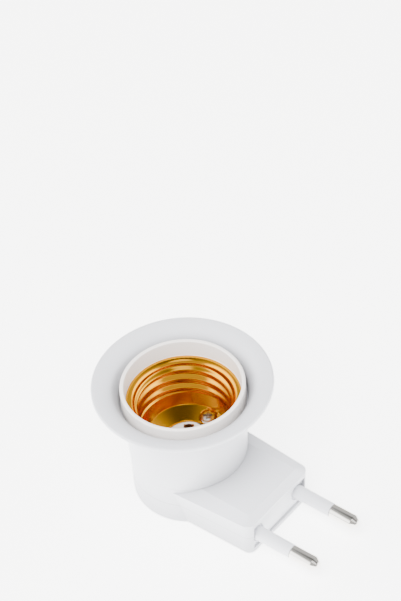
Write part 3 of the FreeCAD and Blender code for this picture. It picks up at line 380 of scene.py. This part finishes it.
def end_tree(tree, geometry, finish):
    """Makes what a geometry tree has grown real, gives it its finish and hands it out."""
    real = add_node(tree, "GeometryNodeRealizeInstances", {"Geometry": geometry}).outputs["Geometry"]
    dressed = add_node(tree, "GeometryNodeSetMaterial",
                       {"Geometry": real, "Material": finish}).outputs["Geometry"]
    add_node(tree, "NodeGroupOutput", {"Geometry": dressed})


def pushed_out(tree, place, amount):
    """How points move that are pushed straight out from Z by an amount."""
    level = add_node(tree, VECTOR_MATH, {0: place, 1: (1, 1, 0)}, operation="MULTIPLY").outputs["Vector"]
    outward = add_node(tree, VECTOR_MATH, {0: level}, operation="NORMALIZE").outputs["Vector"]
    return add_node(tree, VECTOR_MATH, {0: outward, "Scale": amount}, operation="SCALE").outputs["Vector"]


def grown(context, piece, tree, values):
    """Runs a geometry tree on a piece with the named values, and leaves a plain mesh."""
    modifier = piece.modifiers.new(tree.name, "NODES")
    modifier.node_group = tree
    sockets = {item.name: item.identifier for item in tree.interface.items_tree if item.in_out == "INPUT"}
    for name, value in values.items():
        modifier[sockets[name]] = value
    made = bpy.data.meshes.new_from_object(piece.evaluated_get(context.evaluated_depsgraph_get()))
    piece.modifiers.clear()
    piece.data = made


class LAMPHOLDER_OT_mouldings(bpy.types.Operator):
    """Finish the body, the cup, the insulating sleeve, the bridge and the pins' sleeves"""

    bl_idname = "lampholder.mouldings"
    bl_label = "Mouldings"

    def execute(self, context):
        colours, parting = context.scene.holder_colours, context.scene.holder_sizes.parting
        body = tuple(colours.body)
        # tool-polished ABS with a little of the mould's texture left: soft broad highlights, and painted
        # shade drawn into its nooks
        polished = moulded("moulded ABS, white", body, 0.3, seam=parting, nook_mm=13.0)
        paint(polished, "outer_cup", "plug_housing", "bottom_cover")
        # heat-resistant PBT is a touch warmer and duller than the body
        paint(moulded("moulded PBT, warm white", tuple(colours.sleeve), 0.36, grain_mm=0.35), "inner_sleeve")
        # nylon is slightly duller again, and even in tone
        nylon = moulded("moulded nylon, white", body, 0.38, tint=0.98)
        paint(nylon, "pin_bridge", "pin_sleeve_left", "pin_sleeve_right")
        return {"FINISHED"}


def thread_push(tree, given, axes):
    """How far the thread stands out from the plain tube. Going round, each level is pushed out and let in
    by a smooth wave that climbs one pitch in a turn and fades out towards both ends of the thread."""
    above = add_node(tree, MATH, {0: axes["Z"], 1: given["Foot"]}, operation="SUBTRACT").outputs[0]
    azimuth = add_node(tree, MATH, {0: axes["Y"], 1: axes["X"]}, operation="ARCTAN2").outputs[0]
    heading = add_node(tree, MATH, {0: azimuth, 1: given["Start Turn"]}, operation="SUBTRACT").outputs[0]
    climbed = add_node(tree, MATH, {0: above, 1: given["Pitch"]}, operation="DIVIDE").outputs[0]
    turned = add_node(tree, MATH, {0: climbed, 1: math.tau}, operation="MULTIPLY").outputs[0]
    phase = add_node(tree, MATH, {0: turned, 1: heading}, operation="SUBTRACT").outputs[0]
    wave = add_node(tree, MATH, {0: phase}, operation="COSINE").outputs[0]
    share = add_node(tree, MATH, {0: wave, 1: 0.5, 2: 0.5}, operation="MULTIPLY_ADD").outputs[0]
    # at the lower end the wave fades to the crests, and at the upper end to the roots, where the lip opens
    faded = add_node(tree, MATH, {0: given["Foot"], 1: given["Fade"]}, operation="ADD").outputs[0]
    rising = add_node(tree, MAP_RANGE, {"Value": axes["Z"], "From Min": given["Foot"], "From Max": faded},
                      interpolation_type="SMOOTHSTEP").outputs["Result"]
    nearing = add_node(tree, MATH, {0: given["Head"], 1: given["Fade"]}, operation="SUBTRACT").outputs[0]
    opening = add_node(tree, MAP_RANGE, {"Value": axes["Z"], "From Min": nearing, "From Max": given["Head"]},
                       interpolation_type="SMOOTHSTEP").outputs["Result"]
    lower = add_node(tree, MATH, {0: share, 1: rising}, operation="MULTIPLY").outputs[0]
    profile = add_node(tree, "ShaderNodeMix", {0: opening, 2: lower, 3: 1.0}).outputs[0]
    push = add_node(tree, MATH, {0: profile, 1: given["Depth"]}, operation="MULTIPLY").outputs[0]
    # only the levels of the thread move
    started = add_node(tree, MATH, {0: above, 1: -NEARLY}, operation="GREATER_THAN").outputs[0]
    left = add_node(tree, MATH, {0: given["Head"], 1: axes["Z"]}, operation="SUBTRACT").outputs[0]
    ended = add_node(tree, MATH, {0: left, 1: -NEARLY}, operation="GREATER_THAN").outputs[0]
    inside = add_node(tree, MATH, {0: started, 1: ended}, operation="MULTIPLY").outputs[0]
    return add_node(tree, MATH, {0: push, 1: inside}, operation="MULTIPLY").outputs[0]


def pad_press(tree, given, axes):
    """How the sloping floor is pressed down, to a flat round pad under each screw."""
    beside = add_node(tree, MATH, {0: axes["Y"]}, operation="ABSOLUTE").outputs[0]
    offset = add_node(tree, MATH, {0: beside, 1: given["Pad Place"]}, operation="SUBTRACT").outputs[0]
    flat = add_node(tree, "ShaderNodeCombineXYZ", {"X": axes["X"], "Y": offset}).outputs["Vector"]
    apart = add_node(tree, VECTOR_MATH, {0: flat}, operation="LENGTH").outputs["Value"]
    outer = add_node(tree, MATH, {0: given["Pad Radius"], 1: given["Pad Edge"]}, operation="ADD").outputs[0]
    pressed = add_node(tree, MAP_RANGE, {"Value": apart, "From Min": given["Pad Radius"], "From Max": outer,
                                         "To Min": 1.0, "To Max": 0.0},
                       interpolation_type="SMOOTHSTEP").outputs["Result"]
    level = add_node(tree, "ShaderNodeCombineXYZ", {"X": axes["X"], "Y": axes["Y"]}).outputs["Vector"]
    radius = add_node(tree, VECTOR_MATH, {0: level}, operation="LENGTH").outputs["Value"]
    cone = add_node(tree, MATH, {0: radius, 1: given["Floor Slope"], 2: given["Floor Height"]},
                    operation="MULTIPLY_ADD").outputs[0]
    drop = add_node(tree, MATH, {0: given["Pad Height"], 1: cone}, operation="SUBTRACT").outputs[0]
    sunk = add_node(tree, MATH, {0: drop, 1: pressed}, operation="MULTIPLY").outputs[0]
    return add_node(tree, "ShaderNodeCombineXYZ", {"Z": sunk}).outputs["Vector"]


def thread_tree(finish):
    """Rolls the lamp thread into a plain tube and presses the screws' pads into its floor."""
    numbers = ("Foot", "Head", "Pitch", "Depth", "Fade", "Start Turn", "Pad Place", "Pad Height",
               "Pad Radius", "Pad Edge", "Floor Height", "Floor Slope")
    tree, given = new_tree("Rolled Lamp Thread", numbers)
    place = add_node(tree, "GeometryNodeInputPosition").outputs["Position"]
    axes = add_node(tree, "ShaderNodeSeparateXYZ", {"Vector": place}).outputs
    out = pushed_out(tree, place, thread_push(tree, given, axes))
    down = pad_press(tree, given, axes)
    shift = add_node(tree, VECTOR_MATH, {0: out, 1: down}, operation="ADD").outputs["Vector"]
    rolled = add_node(tree, "GeometryNodeSetPosition",
                      {"Geometry": given["Geometry"], "Offset": shift}).outputs["Geometry"]
    smooth = add_node(tree, "GeometryNodeSetShadeSmooth", {"Geometry": rolled}).outputs["Geometry"]
    end_tree(tree, smooth, finish)
    return tree


def floor_slope(size):
    """Rise of the shell's conical floor for each millimetre outwards."""
    return (size.ridge_height - size.hole_height) / (size.ridge_radius - size.hole_radius)


def shell_outline(size):
    """The shell's section, with its thread still plain: from the lip's edge down the inside, across the
    floor to the hole, and back up the outside."""
    gauge, root, crest, roll = size.sheet, size.thread_major, size.thread_minor, size.lip_roll
    foot, head = size.thread_foot, size.thread_head
    rise, reach = size.lip_height - head, size.lip_radius - root
    ridge, hole = (size.ridge_radius, size.ridge_height), (size.hole_radius, size.hole_height)
    rows = round((head - foot) / THREAD_ROW)
    levels = [foot + (head - foot) * row / rows for row in range(rows + 1)]
    # the lip opens like a bell and its edge rolls over
    quarter = quarter_turn(BELL_STEPS)
    bell = [(root + (reach - roll) * (1 - math.cos(turn)), head + rise * math.sin(turn)) for turn in quarter]
    edge = [(size.lip_radius - roll + roll * math.sin(turn), size.lip_height - roll + roll * math.cos(turn))
            for turn in quarter[2::3]]
    under = [(root + gauge + (reach - roll - gauge) * (1 - math.cos(turn)),
              head + (rise - gauge) * math.sin(turn)) for turn in quarter[::2]]
    outline = edge[::-1] + bell[:0:-1]
    outline += [(crest, level) for level in levels[::-1]]
    # a crisp ridge stands where the tapered wall is pressed into the floor
    outline += rounded((crest, foot), ridge, hole, RIDGE_ROUND)
    slope = floor_slope(size)
    width = ridge[0] - RIDGE_CLEAR - hole[0]
    steps = [hole[0] + width * step / FLOOR_RINGS for step in range(FLOOR_RINGS + 1)]
    outline += [(radius, hole[1] + (radius - hole[0]) * slope) for radius in steps[:0:-1]]
    outline += [(hole[0] + HOLE_EDGE, hole[1]), (hole[0], hole[1] - HOLE_EDGE)]
    outline += [(radius, hole[1] - gauge + (radius - hole[0]) * slope) for radius in steps]
    outline += [(ridge[0] + gauge, ridge[1] - gauge)]
    outline += [(crest + gauge, level) for level in levels]
    return outline + under[1:]


class LAMPHOLDER_OT_shell(bpy.types.Operator):
    """Make the rolled screw shell with its fine thread, bell-mouthed lip and pressed floor"""

    bl_idname = "lampholder.shell"
    bl_label = "Screw Shell"

    def execute(self, context):
        size = context.scene.holder_sizes
        # gilt lacquer over rolled aluminium: mirror-like, deeper and redder wherever it mirrors itself, and
        # still yellow at a glancing look, because the lacquer tints all of its shine
        finish = metal("gilt-lacquered rolled aluminium", tuple(context.scene.holder_colours.shell), 0.17,
                       line_mm=0.5, depth_mm=0.002, tint=0.93, worn_mm=6.0, glancing=(1.0, 0.8, 0.25))
        mesh = lathe("screw_shell_rolled", shell_outline(size), 256)
        piece = new_piece("screw_shell_rolled", mesh, finish)
        slope = floor_slope(size)
        values = {
            "Foot": size.thread_foot, "Head": size.thread_head, "Pitch": size.thread_pitch,
            "Depth": size.thread_major - size.thread_minor, "Fade": size.thread_fade,
            "Start Turn": size.thread_turn, "Pad Place": size.screw_place, "Pad Height": size.screw_seat,
            "Pad Radius": size.pad_radius, "Pad Edge": PAD_EDGE,
            "Floor Height": size.hole_height - size.hole_radius * slope, "Floor Slope": slope,
        }
        grown(context, piece, thread_tree(finish), values)
        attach(piece, "holder")
        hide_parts("screw_shell")
        return {"FINISHED"}


def screw_blank(name, head, crown, shank, reach, pitch):
    """A round-head screw, its seat at zero height and its shank ready for a rolled thread."""
    core = shank - SCREW_THREAD
    # radius of the blunt tip, and height of the upright rim under the dome
    tip, rim = core * 0.75, crown * 0.35
    foot, run = -reach + shank * SCREW_TAPER, reach - shank
    rows = round(run / pitch * PITCH_ROWS)
    outline = [(0.0, -reach), (tip, -reach)]
    outline += [(core, foot + run * row / rows) for row in range(rows + 1)]
    outline += [(shank, -SCREW_NECK), (shank, 0.0), (head, 0.0)]
    outline += [(head * math.cos(turn), rim + (crown - rim) * math.sin(turn))
                for turn in quarter_turn(DOME_STEPS)[:-1]]
    outline += [(0.0, crown)]
    return new_piece(name, lathe(name, outline, SCREW_SEGMENTS))


def cross_recess(name, head, crown):
    """The two crossed wedges that a driver's recess is cut with."""
    # half length, half width and height of a wedge over the head and at its foot
    over, foot = (head * 0.72, head * 0.22, crown * 1.1), (head * 0.4, head * 0.12, crown * 0.25)
    work = bmesh.new()
    for turn in (0, math.pi / 2):
        spin = Matrix.Rotation(turn, 3, "Z")
        corners = []
        for along, across, height in (over, foot):
            for x, y in ((1, 1), (-1, 1), (-1, -1), (1, -1)):
                corners.append(work.verts.new(spin @ Vector((x * along, y * across, height))))
        for face in ((0, 1, 2, 3), (7, 6, 5, 4), (0, 4, 5, 1), (1, 5, 6, 2), (2, 6, 7, 3), (3, 7, 4, 0)):
            work.faces.new([corners[index] for index in face])
    bmesh.ops.recalc_face_normals(work, faces=work.faces)
    mesh = bpy.data.meshes.new(name)
    work.to_mesh(mesh)
    work.free()
    return new_piece(name, mesh)


def screw_tree(finish):
    """Rolls a screw's thread, cuts its recess and sets it at each point, head up or head down, each
    turned its own way."""
    tree, given = new_tree("Screws In Place", ("Shank", "Length", "Pitch", "Tilt", "Turn"),
                           objects=("Screw", "Recess"))
    blank = add_node(tree, "GeometryNodeObjectInfo", {"Object": given["Screw"]}).outputs["Geometry"]
    recess = add_node(tree, "GeometryNodeObjectInfo", {"Object": given["Recess"]}).outputs["Geometry"]
    place = add_node(tree, "GeometryNodeInputPosition").outputs["Position"]
    axes = add_node(tree, "ShaderNodeSeparateXYZ", {"Vector": place}).outputs
    heading = add_node(tree, MATH, {0: axes["Y"], 1: axes["X"]}, operation="ARCTAN2").outputs[0]
    climbed = add_node(tree, MATH, {0: axes["Z"], 1: given["Pitch"]}, operation="DIVIDE").outputs[0]
    phase = add_node(tree, MATH, {0: climbed, 1: math.tau, 2: heading}, operation="MULTIPLY_ADD").outputs[0]
    wave = add_node(tree, MATH, {0: phase}, operation="COSINE").outputs[0]
    half = SCREW_THREAD / 2
    crest = add_node(tree, MATH, {0: wave, 1: half, 2: half}, operation="MULTIPLY_ADD").outputs[0]
    # the thread stands only on the shank, and stops short of its neck and its tip
    under_neck = -SCREW_NECK - NEARLY
    below = add_node(tree, MATH, {0: axes["Z"], 1: under_neck}, operation="LESS_THAN").outputs[0]
    from_tip = add_node(tree, MATH, {0: axes["Z"], 1: given["Length"]}, operation="ADD").outputs[0]
    start = add_node(tree, MATH, {0: given["Shank"], 1: SCREW_START}, operation="MULTIPLY").outputs[0]
    above = add_node(tree, MATH, {0: from_tip, 1: start}, operation="GREATER_THAN").outputs[0]
    inside = add_node(tree, MATH, {0: below, 1: above}, operation="MULTIPLY").outputs[0]
    amount = add_node(tree, MATH, {0: crest, 1: inside}, operation="MULTIPLY").outputs[0]
    shift = pushed_out(tree, place, amount)
    rolled = add_node(tree, "GeometryNodeSetPosition",
                      {"Geometry": blank, "Offset": shift}).outputs["Geometry"]
    # the wedges of the recess cross each other, so the third input, self intersection, is on
    driven = add_node(tree, "GeometryNodeMeshBoolean", {0: rolled, 1: recess, 2: True},
                      operation="DIFFERENCE", solver="EXACT").outputs["Mesh"]
    index = add_node(tree, "GeometryNodeInputIndex").outputs["Index"]
    angle = add_node(tree, MATH, {0: index, 1: given["Turn"], 2: given["Turn"]},
                     operation="MULTIPLY_ADD").outputs[0]
    turn = add_node(tree, "ShaderNodeCombineXYZ", {"X": given["Tilt"], "Z": angle}).outputs["Vector"]
    placed = add_node(tree, "GeometryNodeInstanceOnPoints", {"Points": given["Geometry"], "Instance": driven,
                                                             "Rotation": turn}).outputs["Instances"]
    end_tree(tree, placed, finish)
    return tree


def set_screws(context, name, spots, shape, tilt, turn, finish):
    """A set of like screws at their spots, as one mesh."""
    head, crown, shank, reach, pitch = shape
    blank = screw_blank(name + "_blank", head, crown, shank, reach, pitch)
    recess = cross_recess(name + "_recess", head, crown)
    points = bpy.data.meshes.new(name)
    points.from_pydata(spots, [], [])
    piece = new_piece(name, points, finish)
    values = {"Screw": blank, "Recess": recess, "Shank": shank, "Length": reach, "Pitch": pitch,
              "Tilt": tilt, "Turn": turn}
    grown(context, piece, screw_tree(finish), values)
    crisp(piece.data)
    bpy.data.objects.remove(blank)
    bpy.data.objects.remove(recess)
    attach(piece, "holder")
    return piece


class LAMPHOLDER_OT_screws(bpy.types.Operator):
    """Set the two nickel-plated screws in the shell and the three plated screws under the cover"""

    bl_idname = "lampholder.screws"
    bl_label = "Screws"

    def execute(self, context):
        size, colours = context.scene.holder_sizes, context.scene.holder_colours
        # barrel-plated nickel over cold-formed steel: pale, with a satin bloom from the tumbling
        nickel = metal("nickel-plated steel", tuple(colours.nickel), 0.3, depth_mm=0.002, tint=0.95)
        # zinc is greyer and duller, with a milky bloom
        zinc = metal("zinc-plated steel", tuple(colours.zinc), 0.34, tint=0.8)
        shape = (size.screw_head, size.screw_crown, size.screw_shank, size.screw_length, size.screw_pitch)
        spots = [(0, side * size.screw_place, size.screw_seat) for side in (1, -1)]
        piece = set_screws(context, "shell_screws_set", spots, shape, 0.0, math.radians(35), nickel)
        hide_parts("shell_screw_left", "shell_screw_right")
        shape = (size.cover_head, size.cover_crown, size.cover_shank, size.cover_length, size.cover_pitch)
        spots = [(size.cover_front, 0, size.cover_seat)]
        spots += [(-size.cover_rear, side * size.cover_rear, size.cover_seat) for side in (1, -1)]
        piece = set_screws(context, "cover_screws_set", spots, shape, math.pi, math.radians(50), zinc)
        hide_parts("cover_screw_front", "cover_screw_left", "cover_screw_right")
        paint(zinc, "cup_screw_front", "cup_screw_rear")
        return {"FINISHED"}


def pin_outline(size):
    """A pin's section from the end of its tail to its tip, along Z."""
    full, core, tip = size.pin_radius, size.pin_core, size.pin_tip
    bare = size.pin_metal + size.pin_groove
    base, blunt = tip - size.pin_nose, full * 0.62
    dome, chamfer = blunt * 0.6, 0.06 * MM
    tail, collar = size.tail_radius, size.collar_radius
    outline = [(0.0, size.tail_end), (tail, size.tail_end), (tail, size.collar_start)]
    outline += [(collar, size.collar_start), (collar, size.collar_end)]
    outline += [(core, size.collar_end), (core, bare), (full - chamfer, bare), (full, bare + chamfer)]
    # the edge between the shank and the nose is eased
    ease_length, ease_depth = 0.2 * MM, 0.03 * MM
    outline += [(full, base - ease_length), (full - ease_depth, base)]
    # the nose tapers, and its end is a shallow dome
    outline += [(blunt * math.cos(turn), tip - dome + dome * math.sin(turn))
                for turn in quarter_turn(DOME_STEPS)[:-1]]
    return outline + [(0.0, tip)]


class LAMPHOLDER_OT_pins(bpy.types.Operator):
    """Turn the two plug pins, each with a shadow groove behind its bare end and a tapered, rounded nose"""

    bl_idname = "lampholder.pins"
    bl_label = "Pins"

    def execute(self, context):
        size = context.scene.holder_sizes
        # bright nickel over turned brass: near-white, with faint rings from the lathe across the pin
        finish = metal("nickel-plated turned brass", tuple(context.scene.holder_colours.nickel), 0.13,
                       along="X", depth_mm=0.002)
        lying = Matrix.Rotation(math.pi / 2, 4, "Y")
        for tag, side in (("left", 1), ("right", -1)):
            mesh = lathe(f"pin_{tag}_turned", pin_outline(size), 96)
            mesh.transform(Matrix.Translation((0, side * size.pin_spacing, size.pin_height)) @ lying)
            piece = new_piece(f"pin_{tag}_turned", mesh, finish)
            crisp(mesh)
            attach(piece, "holder")
            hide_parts(f"pin_{tag}")
        return {"FINISHED"}


class LAMPHOLDER_OT_contacts(bpy.types.Operator):
    """Finish the carrier, the spring contact, its rivet, the terminals and the nut plates"""

    bl_idname = "lampholder.contacts"
    bl_label = "Contacts"

    def execute(self, context):
        colours = context.scene.holder_colours
        # pressed urea is chalky, with coarse specks of filler
        urea = moulded("pressed urea resin", tuple(colours.carrier), 0.5, tint=0.9, grain_mm=0.5,
                       depth_mm=0.01)
        paint(urea, "contact_carrier")
        # bronze spring strip is redder than brass, with a heat-darkened bloom
        strip = metal("phosphor bronze strip", tuple(colours.bronze), 0.28, along="Y", tint=0.7)
        paint(strip, "centre_contact")
        # the upset head is burnt dark by the riveting tool
        paint(metal("darkened bronze rivet", tuple(colours.rivet), 0.35), "contact_rivet")
        # strip brass keeps the long lines of the rolling mill
        brass = metal("stamped brass strip", tuple(colours.brass), 0.3, along="Y")
        paint(brass, "live_terminal", "neutral_terminal", "shell_nut_plate")
        return {"FINISHED"}


class LAMPHOLDER_OT_leads(bpy.types.Operator):
    """Finish the two leads and their ferrules"""

    bl_idname = "lampholder.leads"
    bl_label = "Leads"

    def execute(self, context):
        colours = context.scene.holder_colours
        # soft insulation: waxy, with a fine drawn surface
        paint(moulded("extruded PVC, brown", tuple(colours.brown), 0.42, tint=0.9), "live_lead")
        paint(moulded("extruded PVC, blue", tuple(colours.blue), 0.42, tint=0.9), "neutral_lead")
        # tinned and crimped copper tube, satin
        paint(metal("tinned copper", tuple(colours.tin), 0.3, along="X"), "live_ferrule", "neutral_ferrule")
        return {"FINISHED"}


def set_table(stage):
    """A wide square table in the plane that the object stands on."""
    half = stage.floor_side / 2
    corners = [(-half, -half, 0), (half, -half, 0), (half, half, 0), (-half, half, 0)]
    mesh = bpy.data.meshes.new("table")
    mesh.from_pydata(corners, [], [(0, 1, 2, 3)])
    # a milky acrylic table, lit from below: flat white with a barely seen mottle
    pale = tuple(stage.floor)
    finish, tree, shader, place = new_material("opal acrylic", pale, Roughness=0.9)
    shader.inputs["Emission Color"].default_value = (*pale, 1)
    shader.inputs["Emission Strength"].default_value = stage.floor_glow
    mottle_mm, depth_mm, tint = 2, 0.002, 0.99
    tooth = add_node(tree, NOISE, {"Vector": place, "Scale": 1 / (mottle_mm * MM),
                                   "Detail": 3.0}).outputs["Fac"]
    dress(tree, shader, tooth, [part * tint for part in pale], pale, tooth, depth_mm, (0.85, 0.95))
    new_piece("table", mesh, finish)


def pitch_tent(context, stage):
    """A white tent round the object, with brighter screens left and right, a dim opening overhead and a
    small panel high in front."""
    world = bpy.data.worlds.new("studio room")
    context.scene.world = world
    world.use_nodes = True
    sky = world.node_tree
    # cosines of the angle to each part of the tent, between which that part comes in or fades out
    screen, gap, opening, patch = (0.64, 0.76), (0.1, 0.7), (0.76, 0.93), (0.95, 0.985)
    way = add_node(sky, "ShaderNodeTexCoord").outputs["Generated"]
    facing = add_node(sky, VECTOR_MATH, {0: way, 1: ACROSS}, operation="DOT_PRODUCT").outputs["Value"]
    aside = add_node(sky, MATH, {0: facing}, operation="ABSOLUTE").outputs["Value"]
    lit = add_node(sky, MAP_RANGE, {"Value": aside, "From Min": screen[0], "From Max": screen[1],
                                    "To Min": stage.tent, "To Max": stage.screens},
                   interpolation_type="SMOOTHSTEP").outputs["Result"]
    # the opening is narrower from side to side than from front to back
    between = add_node(sky, MAP_RANGE, {"Value": aside, "From Min": gap[0], "From Max": gap[1],
                                        "To Min": 1.0, "To Max": 0.0},
                       interpolation_type="SMOOTHSTEP").outputs["Result"]
    overhead = Vector((0.067, -0.074, 0.995))
    ahead = add_node(sky, VECTOR_MATH, {0: way, 1: overhead}, operation="DOT_PRODUCT").outputs["Value"]
    near = add_node(sky, MAP_RANGE, {"Value": ahead, "From Min": opening[0], "From Max": opening[1]},
                    interpolation_type="SMOOTHSTEP").outputs["Result"]
    open_top = add_node(sky, MATH, {0: between, 1: near}, operation="MULTIPLY").outputs["Value"]
    shaded = add_node(sky, "ShaderNodeMix", {0: open_top, 2: lit, 3: stage.dim}).outputs[0]
    # the panel lights the rounded heads and edges
    high_front = Vector((0.3143, -0.3487, 0.8829))
    beyond = add_node(sky, VECTOR_MATH, {0: way, 1: high_front}, operation="DOT_PRODUCT").outputs["Value"]
    panel = add_node(sky, MAP_RANGE, {"Value": beyond, "From Min": patch[0], "From Max": patch[1]},
                     interpolation_type="SMOOTHSTEP").outputs["Result"]
    glow = add_node(sky, "ShaderNodeMix", {0: panel, 2: shaded, 3: stage.panel}).outputs[0]
    sky.nodes["Background"].inputs["Color"].default_value = (1, 1, 1, 1)
    sky.links.new(glow, sky.nodes["Background"].inputs["Strength"])


def set_key(stage):
    """A large soft light behind the camera, above it and to its left. It stands outside the tent, so that
    no bright metal mirrors it."""
    aim = Vector((0.01, 0, 0.02))
    behind, above, beside = 1.4, 0.35, 0.3
    place = aim + BACK * behind + UP * above - ACROSS * beside
    data = bpy.data.lights.new("key", "AREA")
    data.shape = "SQUARE"
    data.size = stage.key_side
    data.energy = stage.key_power
    light = bpy.data.objects.new("key", data)
    light.location = place
    light.rotation_euler = (aim - place).to_track_quat("-Z", "Y").to_euler()
    light.visible_glossy = False
    bpy.context.collection.objects.link(light)


def set_camera(context, stage):
    """The camera at the photo's angle."""
    lens = bpy.data.cameras.new("camera")
    lens.lens = stage.lens
    lens.sensor_width = 36
    lens.clip_start, lens.clip_end = 0.01, 20
    camera = bpy.data.objects.new("camera", lens)
    turn = Matrix((ACROSS, UP, BACK)).transposed().to_4x4()
    camera.matrix_world = Matrix.Translation(CAMERA_PLACE) @ turn
    context.collection.objects.link(camera)
    context.scene.camera = camera


class LAMPHOLDER_OT_stage(bpy.types.Operator):
    """Set the pale table, the white tent, the soft light and the camera"""

    bl_idname = "lampholder.stage"
    bl_label = "Stage"

    def execute(self, context):
        stage = context.scene.holder_stage
        set_table(stage)
        pitch_tent(context, stage)
        set_key(stage)
        set_camera(context, stage)
        return {"FINISHED"}


STEPS = (LAMPHOLDER_OT_stage, LAMPHOLDER_OT_mouldings, LAMPHOLDER_OT_shell, LAMPHOLDER_OT_contacts,
         LAMPHOLDER_OT_screws, LAMPHOLDER_OT_pins, LAMPHOLDER_OT_leads)


class LAMPHOLDER_PT_panel(bpy.types.Panel):
    """Lists the steps and the values that they use"""

    bl_idname = "LAMPHOLDER_PT_panel"
    bl_label = "Plug-In Lamp Holder"
    bl_space_type = "VIEW_3D"
    bl_region_type = "UI"
    bl_category = "Lamp Holder"

    def draw(self, context):
        for step in STEPS:
            self.layout.operator(step.bl_idname)
        for group in (context.scene.holder_sizes, context.scene.holder_colours, context.scene.holder_stage):
            column = self.layout.column(align=True)
            for name in group.bl_rna.properties.keys():
                if name not in {"rna_type", "name"}:
                    column.prop(group, name)


GROUPS = {
    "holder_sizes": LampHolderSizes,
    "holder_colours": LampHolderColours,
    "holder_stage": LampHolderStage,
}


def register():
    """Adds the operators, the panel and the values that they use."""
    for item in (*GROUPS.values(), *STEPS, LAMPHOLDER_PT_panel):
        bpy.utils.register_class(item)
    for name, group in GROUPS.items():
        setattr(bpy.types.Scene, name, PointerProperty(type=group))


def unregister():
    """Takes away what register adds."""
    for name in GROUPS:
        delattr(bpy.types.Scene, name)
    for item in (LAMPHOLDER_PT_panel, *reversed(STEPS), *reversed(GROUPS.values())):
        bpy.utils.unregister_class(item)


def main():
    """Takes the steps in order."""
    register()
    for step in STEPS:
        group, name = step.bl_idname.split(".")
        getattr(getattr(bpy.ops, group), name)()


if __name__ == "__main__":
    main()
